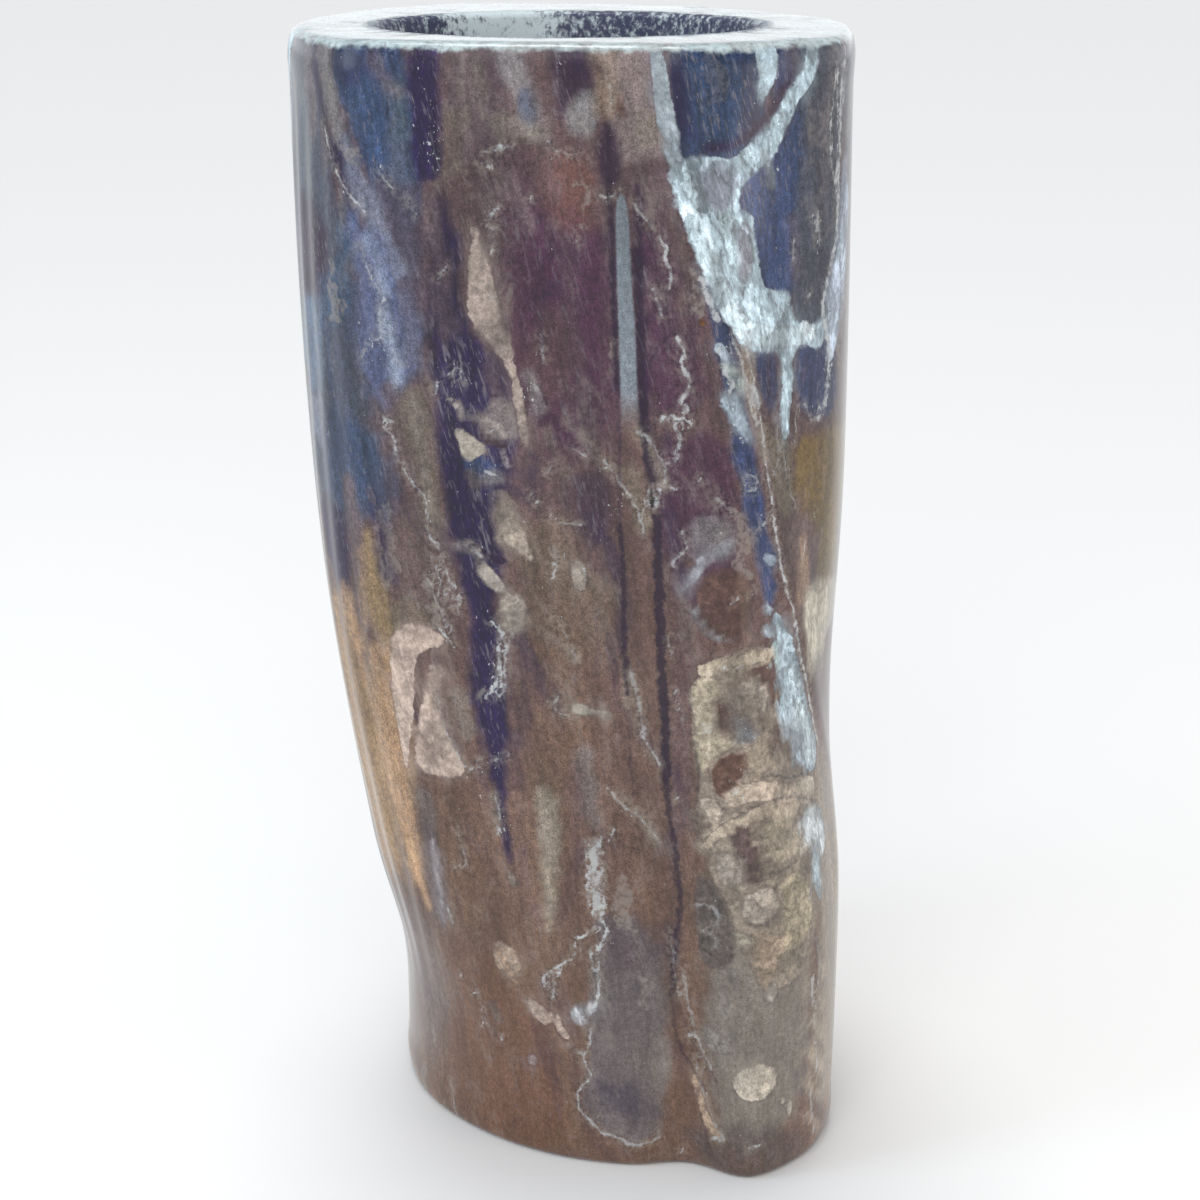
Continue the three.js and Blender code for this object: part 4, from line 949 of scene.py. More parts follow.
# Thin dark lines: (width in mm, strength, line)
DARK_LINES = [
    # the grooves on both sides of the rod
    (2.2, 0.95, [(8, 441), (8.5, 420), (8.8, 400), (9.2, 380), (9.6, 362)]),
    (1.0, 0.7, [(9.7, 362), (10, 350), (10, 300)]),
    (2.6, 0.95, [(10.2, 301), (10.9, 288), (11, 275), (10.9, 260), (11.1, 250), (11.3, 240), (11.8, 227)]),
    (1.0, 0.7, [(12, 211), (12.2, 200), (12.5, 190), (13, 180)]),
    (3.0, 0.95, [(13.2, 418), (13.4, 405), (14.2, 385), (14.5, 360), (14.8, 345), (15.4, 331), (16.6, 322)]),
    (4.2, 1.0, [(17.3, 306), (17.6, 300), (17.9, 280), (18, 272), (18.3, 250), (18.6, 235), (19.1, 215),
     (19.4, 200), (19.7, 185)]),
    (2.8, 0.85, [(19.7, 186), (20.1, 170), (21, 160), (21.5, 150), (21.8, 140), (22.3, 130), (21.6, 116),
     (21.2, 100), (20.8, 86)]),
    # the crease that runs from the rod to the foot
    (1.6, 0.6, [(20.8, 86), (21, 74), (22, 63), (23, 56), (24.2, 51), (25.2, 46), (26, 40)]),
    (1.2, 0.45, [(21.8, 84), (23, 72), (24.5, 62), (26, 54), (27.4, 46)]),
    # brown veinlets
    (1.2, 0.6, [(18, 405), (19, 395), (18, 390)]),
    (1.2, 0.6, [(20, 385), (17, 378), (16, 372)]),
    (1.0, 0.5, [(27, 181), (28, 176)]),
    (1.4, 0.5, [(31.6, 137), (32.6, 134), (33.6, 131)]),
    # beside the squiggle, and the lean line under it
    (1.2, 0.4, [(-18, 170), (-14, 143), (-12, 120)]),
    (1.0, 0.35, [(-42, 300), (-41, 250), (-36, 200)]),
    (0.9, 0.5, [(24.6, 236), (23.6, 228), (24.2, 216), (24.2, 204), (25, 190), (24.2, 172), (25.8, 157)]),
    (0.8, 0.55, [(36.8, 234), (37.6, 226), (36.6, 218.6), (35, 216.4)]),
    # walls of the big shell
    (0.8, 0.85, [(25.4, 160), (27, 167), (29.2, 173), (32.4, 178.4), (36, 180), (40, 178.4), (44, 175),
     (50, 168)]),
    (0.8, 0.7, [(27.6, 243.6), (31, 246), (34, 247), (37.6, 246)]),
    (1.2, 0.85, [(34.5, 191), (37, 190.6), (40, 187), (43, 184.5), (46, 184)]),
    (0.8, 0.7, [(33.6, 147.4), (36.4, 146.4), (39, 146.8), (42.4, 148.4)]),
    (1.0, 0.6, [(27.2, 182), (28, 177)]),
    (0.8, 0.4, [(34, 178), (34.4, 172)]),
    (0.8, 0.4, [(30.6, 243), (30.9, 238.6)]),
    (0.8, 0.4, [(34, 244), (34.2, 239.6)]),
    (0.9, 0.6, [(30.4, 126), (32.4, 123.6), (35, 124.6), (36.8, 130), (36.6, 137), (34.6, 142)]),
    (0.9, 0.7, [(37, 219.6), (37.8, 216.6), (39, 217.6)]),
    # the right side, the back and the left side
    (1.6, 0.6, [(106, 505), (112, 440), (116, 380), (124, 310), (128, 240)]),
    (1.4, 0.6, [(190, 500), (188, 430), (196, 350), (200, 260), (206, 180), (208, 90)]),
    (1.4, 0.55, [(250, 500), (252, 430), (258, 360), (262, 280), (268, 220)]),
    (1.4, 0.5, [(140, 170), (146, 120), (150, 60), (156, 20)]),
]


# ---------------------------------------------------------------- what each point carries

FAR = 12.0                     # mm; no marking is looked for farther off than this


def rough(scale, seed, stretch=1.0):
    """Smooth noise from -1 to 1 at every point, with features about scale mm across."""
    shift = Vector((seed * 17.3, seed * 5.1, seed * 9.7))
    squash = np.array([1, 1, 1 / stretch]) / scale
    return np.array([noise.noise(Vector(place) + shift) for place in places * squash])


coarse_noise = rough(26, 11, 2.2)
middle_noise = rough(9, 12, 1.8)
small_noise = rough(4.5, 13, 1.5)


def ground_colours():
    """The stone's broad colour at every point, and where it is dark and speckled."""
    colour = np.empty((len(places), 4))
    height = smooth(60, 400, run)[:, None]
    colour[:, :3] = stone(*LOW_BROWN) * (1 - height) + stone(*BROWN) * height
    colour[:, 3] = 0
    for tint, softness, strength, spots, *width in ZONES:
        if width:
            index, depth = band_distance(spots, width[0], softness * 2 + 6)
        else:
            index, depth = edge_distance(spots, softness * 2 + 6)
        wander = min(softness, 6) * (0.9 * coarse_noise + 1.0 * middle_noise + 0.8 * small_noise)
        share = strength * smooth(-softness, softness, depth + wander[index])
        colour[index, :3] += (stone(*tint) - colour[index, :3]) * share[:, None]
        speckled = 1.0 if tint in (NIGHT, NAVY, DUSK_BLUE, SLATE, DEEP) else 0.0
        colour[index, 3] += (speckled - colour[index, 3]) * share
    # painted light: the colour is made lighter towards the foot and darker towards the rim, to make up for
    # how the light falls
    painted_light_evening = 1.14 - 0.09 * smooth(20, 110, run) - 0.14 * smooth(120, 460, run)
    colour[:, :3] *= painted_light_evening[:, None]  # the foot gets less light than the rim
    return colour


def patch_layer(shapes):
    """The depth inside the nearest shape, and its edge's raggedness and softness; its colour."""
    facts = np.tile([-FAR, 0.6, 0.8], (len(places), 1))
    colour = np.zeros((len(places), 4))
    for tint, crystal, softness, spots, *width in shapes:
        if width:
            index, inside = band_distance(spots, width[0], FAR)
        else:
            index, inside = edge_distance(spots, FAR, 1)
        deeper = inside > facts[index, 0]
        chosen = index[deeper]
        facts[chosen, 0] = inside[deeper]
        facts[chosen, 1] = np.clip(inside.max() * 0.4, 0.5, 1.9)
        facts[chosen, 2] = softness
        colour[chosen] = [*stone(*tint), crystal]
    return facts, colour


def line_layer(lines):
    """The vector and the distance to the nearest line, and that line's half width and strength."""
    towards = np.tile([FAR, 0.0, 0.0], (len(places), 1))
    facts = np.zeros((len(places), 3))
    facts[:, 0] = FAR
    gap = np.full(len(places), FAR)
    for width, strength, spots in lines:
        solid = on_skin(rounded(spots, False))
        index = close_by(solid, FAR)
        vector, length = nearest(places[index], solid)
        closer = length - width / 2 < gap[index]
        chosen = index[closer]
        gap[chosen] = length[closer] - width / 2
        towards[chosen] = vector[closer]
        facts[chosen] = np.stack([length[closer], np.full(closer.sum(), width / 2),
                                  np.full(closer.sum(), strength)], 1)
    return towards, facts


ground = ground_colours()
patch_facts, patch_colour = patch_layer(PATCHES)
detail_facts, detail_colour = patch_layer(DETAILS)
pale_towards, pale_facts = line_layer(PALE_LINES)
dark_towards, dark_facts = line_layer(DARK_LINES)


# ---------------------------------------------------------------- the relief

ROD = [(8.6, 442), (9, 410), (9.4, 380), (10, 350), (10.2, 300), (10.8, 260), (11.6, 230), (12.4, 200),
       (13.4, 176), (17, 168), (19.2, 190), (18.6, 215), (17.8, 240), (17.2, 270), (16.4, 300), (14.8, 335),
       (14, 360), (13.6, 385), (12.8, 405), (12, 442)]
PIT = (16.7, 313.5)
PIT_REACH = 2.6                # mm over which these fade out
GROOVE_REACH = 1.7
LIP_REACH = 4.5
FACET_TURN = 8.5               # degrees from one facet to the next
FACET_LEAN = 90                # mm of height over which the facets lean by a sixth of that


def polished_side():
    """How far the side stands out: slow waves, facets on the left flank, rod, grooves, calcite, pit."""
    side = smooth(4, 20, run) * (1 - smooth(492, 500, run))
    out = 0.3 * rough(60, 1, 2.5) * side + 0.1 * rough(22, 2, 3) * side
    flank = smooth(-84, -74, angle) * (1 - smooth(-46, -36, angle))
    flank *= smooth(40, 120, run) * (1 - smooth(440, 494, run))
    out += 0.35 * flank * np.cos(np.radians(angle * 360 / FACET_TURN) + run / FACET_LEAN)
    index, depth = edge_distance(ROD, 8)
    out[index] += 0.35 * smooth(-1.5, 3, depth)
    out -= 0.45 * np.exp(-np.square(dark_facts[:, 0] / GROOVE_REACH)) * dark_facts[:, 2]
    out += 0.18 * smooth(-1, 1.5, patch_facts[:, 0]) * patch_colour[:, 3] * (1 + 1.2 * rough(5, 3))
    pit = np.linalg.norm(places - on_skin([PIT]), axis=1)
    return out - 1.4 * np.exp(-np.square(pit / PIT_REACH))


def rim_and_wall():
    """How far the rim stands out, with its chipped inner edge, and the rough wall of the hollow."""
    rim = smooth(494, 504, run) * (1 - smooth(530, 545, run))
    out = 0.35 * rim * rough(26, 4) + 0.12 * rim * rough(7, 5)
    lip = np.exp(-np.square((run - OUTSIDE_RUN) / LIP_REACH))
    out -= 0.9 * lip * np.maximum(rough(9, 6) + 0.1, 0)
    wall = smooth(534, 550, run) * (1 - smooth(880, 905, run))
    return out + wall * (0.3 * rough(9, 7, 2) + 0.6 * rough(24, 8) + 0.2 * rough(4.5, 9))


places = places + normals.reshape(-1, 3) * (polished_side() + rim_and_wall())[:, None]


# ---------------------------------------------------------------- the mesh

UNDERSIDE_RINGS = 4
FLOOR_RINGS = 5


def shrunk(ring, middle, count):
    """Rings that close a flat face from its edge in towards the middle."""
    return [middle + (ring - middle) * (1 - k / count) for k in range(1, count)]


def strip(first, second):
    """The quads between two rings of vertex numbers, second outside or above the first."""
    return np.stack([first, np.roll(first, -1), np.roll(second, -1), second], 1)


def vessel_mesh():
    """The closed skin, shaded smooth."""
    grid = places.reshape(rows, columns, 3)
    foot_middle = np.array([0.0, 0.0, 0.0])
    floor_middle = np.array([*HOLLOW_CENTRE, grid[-1, :, 2].mean()])
    under = shrunk(grid[0], foot_middle, UNDERSIDE_RINGS)[::-1]
    floor = shrunk(grid[-1], floor_middle, FLOOR_RINGS)
    stack = np.concatenate([np.array(under), grid, np.array(floor)])
    count = len(stack)
    numbers = np.arange(count * columns).reshape(count, columns)
    quads = np.concatenate([strip(numbers[k], numbers[k + 1]) for k in range(count - 1)])
    low, high = count * columns, count * columns + 1
    fans = [(low, int(b), int(a)) for a, b in zip(numbers[0], np.roll(numbers[0], -1))]
    fans += [(high, int(a), int(b)) for a, b in zip(numbers[-1], np.roll(numbers[-1], -1))]
    points = np.concatenate([stack.reshape(-1, 3), [foot_middle, floor_middle]]) * MM
    mesh = bpy.data.meshes.new("stone_skin")
    mesh.from_pydata(points.tolist(), [], quads.tolist() + fans)
    mesh.polygons.foreach_set("use_smooth", np.ones(len(mesh.polygons), bool))
    return mesh


def carry(mesh, name, kind, values):
    """Stores values of the fine skin on the mesh; the two flat faces repeat the nearest ring."""
    values = np.asarray(values, float).reshape(rows, columns, -1)
    full = np.concatenate([np.repeat(values[:1], UNDERSIDE_RINGS - 1, 0), values,
                           np.repeat(values[-1:], FLOOR_RINGS - 1, 0)]).reshape(-1, values.shape[2])
    full = np.concatenate([full, values[0, :1], values[-1, :1]])
    layer = mesh.attributes.new(name, kind, "POINT")
    field = {"FLOAT": "value", "FLOAT_VECTOR": "vector", "FLOAT_COLOR": "color"}[kind]
    layer.data.foreach_set(field, full.astype(np.float32).ravel())


index, depth = edge_distance(ROD, FAR)
rod_depth = np.full(len(places), -FAR)
rod_depth[index] = depth

CARRIED = {
    "FLOAT_COLOR": {"ground": ground, "patch_colour": patch_colour, "detail_colour": detail_colour},
    "FLOAT_VECTOR": {"patch_facts": patch_facts, "detail_facts": detail_facts,
                     "pale_towards": pale_towards, "pale_facts": pale_facts,
                     "dark_towards": dark_towards, "dark_facts": dark_facts},
    "FLOAT": {"run": run, "rod_depth": rod_depth},
}
mesh = vessel_mesh()
for kind, layers in CARRIED.items():
    for name, values in layers.items():
        carry(mesh, name, kind, values)

vessel = bpy.data.objects.new("polished_stone_vessel", mesh)
bpy.context.scene.collection.objects.link(vessel)


# ---------------------------------------------------------------- the stone's material

class Graph:
    """Short names for making the nodes of one material."""

    def __init__(self, name):
        self.material = bpy.data.materials.new(name)
        self.material.use_nodes = True
        self.tree = self.material.node_tree
        self.tree.nodes.clear()

    def node(self, kind, inputs, **settings):
        made = self.tree.nodes.new(kind)
        for name, value in settings.items():
            setattr(made, name, value)
        for socket, value in inputs.items():
            if isinstance(value, bpy.types.NodeSocket):
                self.tree.links.new(value, made.inputs[socket])
            else:
                made.inputs[socket].default_value = value
        return made

    def math(self, operation, *values):
        return self.node("ShaderNodeMath", dict(enumerate(values)), operation=operation).outputs[0]

    def product(self, first, *others):
        for other in others:
            first = self.math("MULTIPLY", first, other)
        return first

    def line(self, value, gain, start):
        """gain times the value, plus start."""
        return self.math("MULTIPLY_ADD", value, gain, start)

    def vector(self, operation, *values):
        return self.node("ShaderNodeVectorMath", dict(enumerate(values)), operation=operation)

    def times(self, vector, factor):
        return self.node("ShaderNodeVectorMath", {0: vector, "Scale": factor}, operation="SCALE").outputs[0]

    def step(self, value, low, high, start=0.0, end=1.0):
        """start up to low, end from high on, and a smooth change between them."""
        ends = {"Value": value, "From Min": low, "From Max": high, "To Min": start, "To Max": end}
        return self.node("ShaderNodeMapRange", ends, interpolation_type="SMOOTHSTEP").outputs[0]

    def mix(self, share, first, second, blend="MIX"):
        return self.node("ShaderNodeMix", {0: share, 6: first, 7: second}, data_type="RGBA",
                         blend_type=blend).outputs[2]

    def noise_node(self, place, scale, detail, roughness, distortion=0.0):
        return self.node("ShaderNodeTexNoise", {"Vector": place, "Scale": scale, "Detail": detail,
                                                "Roughness": roughness, "Distortion": distortion})

    def noise(self, *values):
        return self.noise_node(*values).outputs[0]

    def bent(self, place, amount, *values):
        """The place, pushed aside by a noise."""
        push = self.times(self.noise_node(*values).outputs["Color"], amount)
        return self.vector("ADD", place, push).outputs[0]

    def cells(self, place, scale):
        """A pattern of cells: the distance to each one's middle, and a value of its own."""
        made = self.node("ShaderNodeTexVoronoi", {"Vector": place, "Scale": scale}, feature="F1")
        own = self.node("ShaderNodeSeparateColor", {0: made.outputs["Color"]}).outputs[0]
        return made.outputs["Distance"], own

    def grey(self, value):
        return self.node("ShaderNodeCombineColor", {0: value, 1: value, 2: value}).outputs[0]

    def parts(self, vector):
        return self.node("ShaderNodeSeparateXYZ", {0: vector}).outputs

    def attribute(self, name):
        return self.node("ShaderNodeAttribute", {}, attribute_name=name).outputs

    def drawn_out(self, place, lean, length):
        """The place, for a pattern that is longer upwards and leans by some degrees."""
        return self.node("ShaderNodeMapping", {"Vector": place, "Rotation": (0.0, math.radians(lean), 0.0),
                                               "Scale": (1, 1, length)}, vector_type="TEXTURE").outputs[0]


BED_LEAN = -10                 # degrees by which the rock's beds lean
PALE_WALL_MIDDLE = (-0.034, 0.066, 0.492)  # the middle of a pale stretch of the hollow's wall, in m


def rgb(tint):
    return (*stone(*tint), 1.0)


def shared_patterns(g):
    """The noises and carried values that several layers of the stone use."""
    place = g.node("ShaderNodeTexCoord", {}).outputs["Object"]
    streaks = g.drawn_out(place, BED_LEAN, 6)
    short_streaks = g.drawn_out(place, BED_LEAN, 2.4)
    ground = g.attribute("ground")
    return SimpleNamespace(
        place=place,
        short_streaks=short_streaks,
        ground=ground["Color"],
        night=ground["Alpha"],
        run=g.attribute("run")["Fac"],
        cloud=g.noise(streaks, 36, 6, 0.62, 0.7),
        band=g.noise(streaks, 170, 4, 0.6, 0.3),
        fibre=g.noise(g.drawn_out(place, -6, 9), 620, 3, 0.6),
        blotch=g.noise(short_streaks, 70, 6, 0.66, 0.9),
        patchy=g.noise(short_streaks, 34, 4, 0.6, 0.8),
        mottle=g.noise(place, 380, 5, 0.7),
        grain=g.noise(place, 1500, 2, 0.6),
        fading=g.noise(place, 45, 3, 0.6, 0.4),
        wide=g.math("SUBTRACT", g.noise(place, 120, 5, 0.66), 0.5),
        fine=g.math("SUBTRACT", g.noise(place, 430, 3, 0.65), 0.5),
    )


def rock_shade(g, p):
    """How light the rock is, from clouds down to grain, calmer near the foot."""
    level = g.line(p.cloud, 1.7, 0.15)
    for pattern, gain, start in ((p.band, 1.0, 0.5), (p.fibre, 0.7, 0.65), (p.blotch, 1.1, 0.45),
                                 (p.mottle, 2.0, 0.0), (p.grain, 2.2, -0.1)):
        level = g.product(level, g.line(pattern, gain, start))
    stripe = g.line(g.noise(g.drawn_out(p.place, -4, 14), 330, 3, 0.6), 1.8, -0.9)
    level = g.product(level, g.math("ADD", g.product(p.night, stripe), 1.0))
    level = g.math("SUBTRACT", g.math("MAXIMUM", level, 0.12), 1.0)
    return g.grey(g.line(level, g.step(p.run, 60, 170, 0.68, 1.0), 1.0))


def rock(g, p, shade):
    """The broad colours with warm stains, pale haze, dark murk and fine pale hatching."""
    colour = g.mix(1.0, p.ground, shade, "MULTIPLY")
    warm = g.step(g.noise(p.short_streaks, 60, 5, 0.6, 0.6), 0.44, 0.66, 0.0, 0.12)
    warm = g.product(warm, g.math("SUBTRACT", 1.0, p.night))
    colour = g.mix(warm, colour, g.mix(1.0, colour, (1.22, 1.04, 0.78, 1), "MULTIPLY"))
    haze = g.product(g.step(p.blotch, 0.5, 0.72), g.line(p.night, -0.3, 0.5),
                     g.step(p.mottle, 0.36, 0.58, 0.2, 1.0))
    colour = g.mix(haze, colour, g.mix(p.night, rgb(TAN), rgb((98, 98, 112))))
    murk = g.product(g.step(p.patchy, 0.54, 0.7), g.step(p.run, 80, 220, 0.25, 0.45))
    colour = g.mix(murk, colour, rgb(NIGHT))
    hatch = g.noise(g.drawn_out(p.place, -16, 6), 760, 3, 0.6, 0.4)
    hatch = g.product(g.step(hatch, 0.53, 0.66), g.step(p.blotch, 0.4, 0.58, 0.1, 1.0))
    return g.mix(g.product(hatch, g.line(p.night, 0.3, 0.25)), colour, rgb((136, 132, 138)))


def shell_bits(g, p, colour):
    """Bits of broken shell all over the rock, fewer where it is dark."""
    distance, own = g.cells(g.bent(p.short_streaks, 0.02, p.place, 90, 3, 0.6), 52)
    depth = g.math("SUBTRACT", g.step(own, 0.55, 1.0, 0.0, 0.3), distance)
    share = g.product(g.step(depth, -0.02, 0.05), g.step(p.mottle, 0.35, 0.55, 0.1, 0.55),
                      g.line(p.night, -0.7, 1.0))
    return g.mix(share, colour, rgb((150, 142, 136)))


def rod(g, p, colour, shade):
    """The long straight shell, brown below and blue-grey above; the blue-grey is a painted reflection."""
    share = g.step(g.attribute("rod_depth")["Fac"], 0.2, 1.6)
    tint = g.mix(g.step(p.run, 338, 364), rgb(LOW_BROWN), rgb(ROD_REFLECTED_BLUE))
    tint = g.mix(0.7, tint, shade, "MULTIPLY")
    return g.mix(g.product(share, g.step(p.run, 330, 362, 0.3, 0.85)), colour, tint)


def crystal_shade(g, p):
    """The light and dark of packed calcite crystals."""
    drawn = g.drawn_out(p.place, -14, 2.2)
    lump = g.step(g.noise(drawn, 120, 4, 0.62, 0.5), 0.38, 0.62, 0.55, 1.35)
    needle = g.noise(g.drawn_out(p.place, -18, 2.6), 560, 4, 0.7, 0.6)
    own = g.cells(g.bent(drawn, 0.009, p.place, 140, 3, 0.6), 190)[1]
    return g.product(lump, g.line(needle, 2.6, -0.25), g.line(own, 0.8, 0.66))


def shell_shade(g, p):
    """The light and dark of a shell's filling."""
    chamber = g.noise(p.place, 150, 6, 0.7, 1.2)
    return g.product(g.line(chamber, 2.8, -0.2), g.line(p.mottle, 2.2, -0.1), g.line(p.grain, 1.2, 0.4),
                     g.step(p.fading, 0.66, 0.36, 0.68, 1.26))


def fossils(g, p, colour, crystals):
    """The patches and their details. Also how crystalline the surface is, and what is near a patch."""
    shell = shell_shade(g, p)
    blur = g.step(p.fading, 0.42, 0.64, 0.6, 3.0)
    bare = g.step(g.noise(p.place, 240, 4, 0.7), 0.32, 0.44, 0.7, 0.98)
    bare = g.product(bare, g.step(p.fading, 0.7, 0.5, 0.72, 1.0))
    for name in ("patch", "detail"):
        facts = g.parts(g.attribute(name + "_facts")["Vector"])
        tint = g.attribute(name + "_colour")
        ragged = g.line(g.product(p.wide, facts[1]), 2.6, facts[0])
        ragged = g.line(p.fine, 2.0, ragged)
        soft = g.product(facts[2], blur)
        share = g.step(ragged, g.product(soft, -1.0), soft)
        texture = g.node("ShaderNodeMix", {0: tint["Alpha"], 2: shell, 3: crystals}, data_type="FLOAT")
        filled = g.mix(1.0, tint["Color"], g.grey(texture.outputs[0]), "MULTIPLY")
        if name == "patch":
            halo = g.product(g.step(ragged, -7.0, 0.0), g.step(p.blotch, 0.4, 0.65),
                             g.line(p.night, -0.9, 1.0))
            colour = g.mix(g.product(halo, 0.35), colour, tint["Color"])
            crystalline = g.product(share, tint["Alpha"])
            near_patch = g.step(ragged, -6.0, 0.0)
        contour = g.product(g.step(ragged, -1.4, -0.2), g.step(ragged, 1.2, -0.1))
        colour = g.mix(g.product(contour, 0.3), colour, rgb(DARK_BROWN))
        colour = g.mix(g.product(share, bare), colour, filled)
    return colour, crystalline, near_patch


def line_share(g, name, wobble, uneven, softness):
    """How much of a thin line covers the surface, with a wandering edge, and the distance to it."""
    towards = g.attribute(name + "_towards")["Vector"]
    facts = g.parts(g.attribute(name + "_facts")["Vector"])
    length = g.vector("LENGTH", g.vector("ADD", towards, wobble).outputs[0]).outputs["Value"]
    length = g.math("MAXIMUM", length, g.math("SUBTRACT", facts[0], 1.3))
    inside = g.math("SUBTRACT", g.product(facts[1], uneven), length)
    return g.product(g.step(inside, -softness, softness), facts[2]), facts[0]


def thin_lines(g, p, colour):
    """The dark grooves and the pale veins. Also the share of groove, and the distance to a vein."""
    wobble = g.noise_node(p.place, 230, 4, 0.7).outputs["Color"]
    wobble = g.times(g.vector("SUBTRACT", wobble, (0.5, 0.5, 0.5)).outputs[0], 4.2)
    uneven = g.line(g.noise(p.place, 300, 3, 0.6), 3.4, -0.75)
    dark = line_share(g, "dark", wobble, g.line(uneven, 0.6, 0.4), 0.9)[0]
    colour = g.mix(g.product(dark, 0.85), colour, rgb((56, 44, 62)))
    pale, distance = line_share(g, "pale", wobble, uneven, 0.5)
    glow = g.product(g.step(distance, 4.5, 0.5), g.step(p.mottle, 0.42, 0.62))
    colour = g.mix(g.product(glow, 0.35), colour, rgb(SHELL))
    flicker = g.step(g.noise(p.place, 170, 4, 0.7), 0.4, 0.56, 0.2, 1.0)
    return g.mix(g.product(pale, flicker), colour, rgb((204, 208, 210))), dark, distance


def specks_and_glints(g, p, colour, vein_distance, near_patch):
    """Fine pale specks, thickest along the veins and in the dark bands: partly the stone's fine crystals,
    partly painted glints of light.
    """
    cluster = g.step(g.noise(p.short_streaks, 60, 4, 0.65), 0.54, 0.7)
    cluster = g.line(g.step(vein_distance, 7.0, 0.0), 0.6, cluster)
    cluster = g.line(near_patch, 0.2, cluster)
    limit = g.line(p.night, -0.05, g.line(cluster, -0.1, 0.76))
    # painted glints: some of these pale specks are tiny highlights on the polish, not crystals
    speck_and_glint = g.noise(g.drawn_out(p.place, BED_LEAN, 1.7), 780, 2, 0.65)
    speck_and_glint = g.step(g.math("SUBTRACT", speck_and_glint, limit), 0.0, 0.07)
    return g.mix(g.product(speck_and_glint, 0.75), colour, rgb((206, 212, 216)))


def rim_and_hollow(g, p, colour):
    """The rim with a painted glare, and the sawn wall of the hollow with painted shade. Also the hollow's
    share and its wall.
    """
    wandering_run = g.line(p.wide, 8.0, p.run)
    # painted glare: the whitish-cyan over the rim's rounded edge and top is light from above on the polish;
    # the brown flecks in it are the stone's own
    rim = g.product(g.step(wandering_run, 496, 499), g.step(p.mottle, 0.34, 0.56, 0.6, 0.96),
                    g.step(p.blotch, 0.3, 0.5, 0.6, 1.0))
    rim_glare_tint = g.mix(g.step(p.blotch, 0.5, 0.64), rgb((212, 229, 232)), rgb((176, 182, 184)))
    rim_glare_tint = g.mix(g.step(p.patchy, 0.52, 0.62, 0.0, 0.4), rim_glare_tint, rgb((162, 150, 140)))
    colour = g.mix(rim, colour, rim_glare_tint)
    hollow = g.step(wandering_run, 532, 538)
    wall = g.noise(g.drawn_out(p.place, 0, 1.4), 330, 5, 0.74)
    from_pale_wall = g.vector("DISTANCE", p.place, PALE_WALL_MIDDLE).outputs["Value"]
    wall = g.math("ADD", wall, g.step(g.line(p.wide, 0.03, from_pale_wall), 0.038, 0.016, 0.0, 0.2))
    # painted light and shade: pale patches are added near the lip, and they fade from near white at the mouth
    # to grey deeper in; the dark blue-grey between them is partly the sawn stone, partly painted shade of the
    # hollow
    wall = g.math("ADD", wall, g.step(wandering_run, 544, 532, 0.0, 0.09))
    shaded_pale_patch = g.mix(g.step(p.run, 560, 660), rgb((222, 236, 240)), rgb((118, 122, 138)))
    inside = g.mix(g.step(wall, 0.47, 0.7), rgb((80, 84, 108)), shaded_pale_patch)
    return g.mix(hollow, colour, inside), hollow, wall


def stone_material():
    g = Graph("polished_orthoceras_limestone")
    p = shared_patterns(g)
    shade = rock_shade(g, p)
    colour = shell_bits(g, p, rock(g, p, shade))
    colour = rod(g, p, colour, shade)
    crystals = crystal_shade(g, p)
    colour, crystalline, near_patch = fossils(g, p, colour, crystals)
    colour, dark, vein_distance = thin_lines(g, p, colour)
    colour = specks_and_glints(g, p, colour, vein_distance, near_patch)
    colour, hollow, wall = rim_and_hollow(g, p, colour)

    roughness = g.line(crystalline, 0.1, g.line(p.mottle, 0.14, 0.08))
    roughness = g.line(hollow, 0.45, roughness)
    height = g.line(p.grain, 0.2, g.product(p.mottle, 0.4))
    height = g.line(g.product(crystalline, crystals), 0.8, height)
    height = g.line(dark, -1.6, height)
    height = g.line(hollow, wall, height)
    bump = g.node("ShaderNodeBump", {"Height": height, "Strength": 0.35, "Distance": 0.0006}).outputs[0]
    surface = g.node("ShaderNodeBsdfPrincipled", {
        "Base Color": colour, "Roughness": roughness, "Normal": bump, "Specular IOR Level": 0.32,
        "Coat Weight": 0.12, "Coat Roughness": 0.05})
    g.node("ShaderNodeOutputMaterial", {"Surface": surface.outputs[0]})
    return g.material


mesh.materials.append(stone_material())


# ---------------------------------------------------------------- floor, lights and camera

FLOOR_REACH = 14.0             # m from the middle to the floor's edge
FLOOR_TINT = (248, 249, 250)
DAYLIGHT = (1.0, 0.98, 0.95)
CAMERA_PLACE = (0.012, -1.093, 0.580)
CAMERA_TILT = -17.6            # degrees below level
CAMERA_LENS = 72.65            # mm, on a sensor 36 mm wide


def floor_material():
    g = Graph("pale_floor")
    surface = g.node("ShaderNodeBsdfPrincipled", {
        "Base Color": (*linear(*FLOOR_TINT), 1.0), "Roughness": 0.9, "Specular IOR Level": 0.0})
    g.node("ShaderNodeOutputMaterial", {"Surface": surface.outputs[0]})
    return g.material


def pale_floor():
    mesh = bpy.data.meshes.new("floor")
    corners = [(-1, -1), (1, -1), (1, 1), (-1, 1)]
    mesh.from_pydata([(FLOOR_REACH * x, FLOOR_REACH * y, 0) for x, y in corners], [], [(0, 1, 2, 3)])
    mesh.materials.append(floor_material())
    floor = bpy.data.objects.new("floor", mesh)
    bpy.context.scene.collection.objects.link(floor)


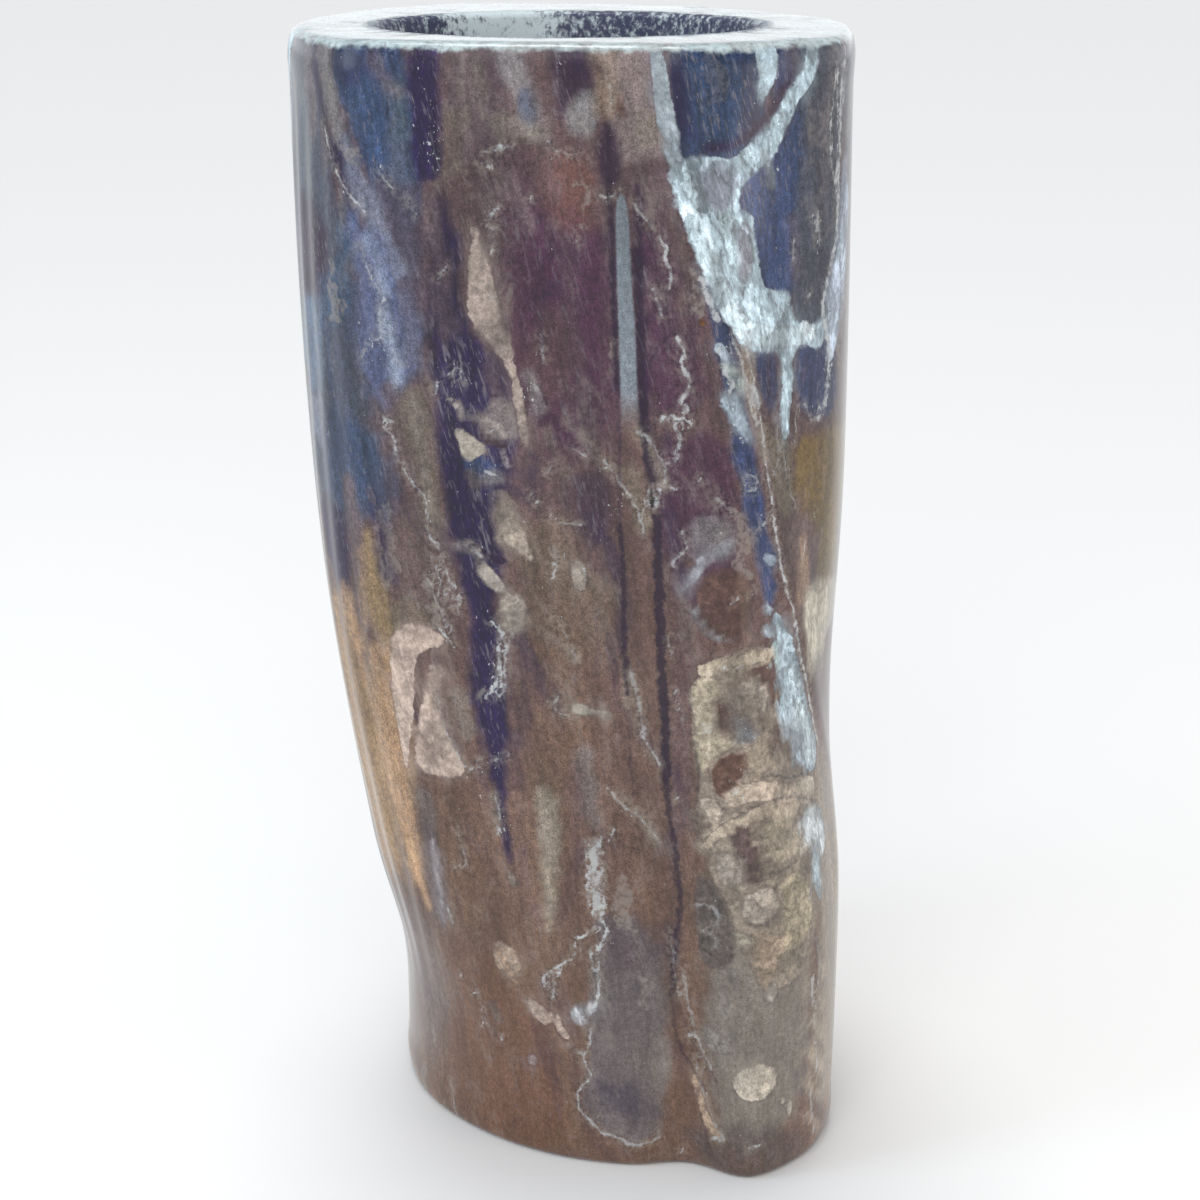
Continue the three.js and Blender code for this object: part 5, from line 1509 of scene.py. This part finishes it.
def studio_world():
    """A pale surround, brighter near the horizon than overhead."""
    world = bpy.data.worlds.new("studio")
    world.use_nodes = True
    nodes, links = world.node_tree.nodes, world.node_tree.links
    direction = nodes.new("ShaderNodeTexCoord")
    height = nodes.new("ShaderNodeSeparateXYZ")
    strength = nodes.new("ShaderNodeMapRange")
    strength.interpolation_type = "SMOOTHSTEP"
    for name, value in {"From Min": 0.03, "From Max": 0.4, "To Min": 1.35, "To Max": 0.5}.items():
        strength.inputs[name].default_value = value
    background = nodes["Background"]
    background.inputs["Color"].default_value = (0.955, 0.975, 1.0, 1.0)
    links.new(direction.outputs["Generated"], height.inputs[0])
    links.new(height.outputs["Z"], strength.inputs["Value"])
    links.new(strength.outputs[0], background.inputs["Strength"])
    bpy.context.scene.world = world


def key_light():
    """A wide soft sun, nearly overhead and a little behind."""
    data = bpy.data.lights.new("key", "SUN")
    data.energy = 1.1
    data.angle = math.radians(22)
    data.color = DAYLIGHT
    sun = bpy.data.objects.new("key", data)
    sun.rotation_euler = Vector((-0.06, 0.22, 1)).to_track_quat("Z", "Y").to_euler()
    bpy.context.scene.collection.objects.link(sun)


def area_light(name, place, target, size, power, tint):
    data = bpy.data.lights.new(name, "AREA")
    data.shape = "RECTANGLE"
    data.size, data.size_y = size
    data.energy = power
    data.color = tint
    light = bpy.data.objects.new(name, data)
    light.location = place
    light.rotation_euler = (Vector(target) - Vector(place)).to_track_quat("-Z", "Y").to_euler()
    light.visible_camera = False
    bpy.context.scene.collection.objects.link(light)


def camera():
    data = bpy.data.cameras.new("camera")
    data.lens = CAMERA_LENS
    data.sensor_width = 36
    data.clip_end = 60
    made = bpy.data.objects.new("camera", data)
    made.location = CAMERA_PLACE
    made.rotation_euler = (math.radians(90 + CAMERA_TILT), 0, 0)
    bpy.context.scene.collection.objects.link(made)
    bpy.context.scene.camera = made


pale_floor()
studio_world()
key_light()
area_light("front", (-0.4, -3.2, 2.7), (0, 0, 0.2), (3.0, 3.0), 54, DAYLIGHT)
area_light("cool_left", (-1.3, -0.5, 0.9), (0, 0, 0.3), (0.5, 1.2), 5, (0.75, 0.88, 1.0))
area_light("warm_right", (1.2, -0.7, 0.3), (0, 0, 0.2), (0.4, 0.8), 2, (1.0, 0.8, 0.6))
camera()
bpy.context.scene.view_settings.view_transform = "Standard"

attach(vessel, "root")
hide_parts(NODE)
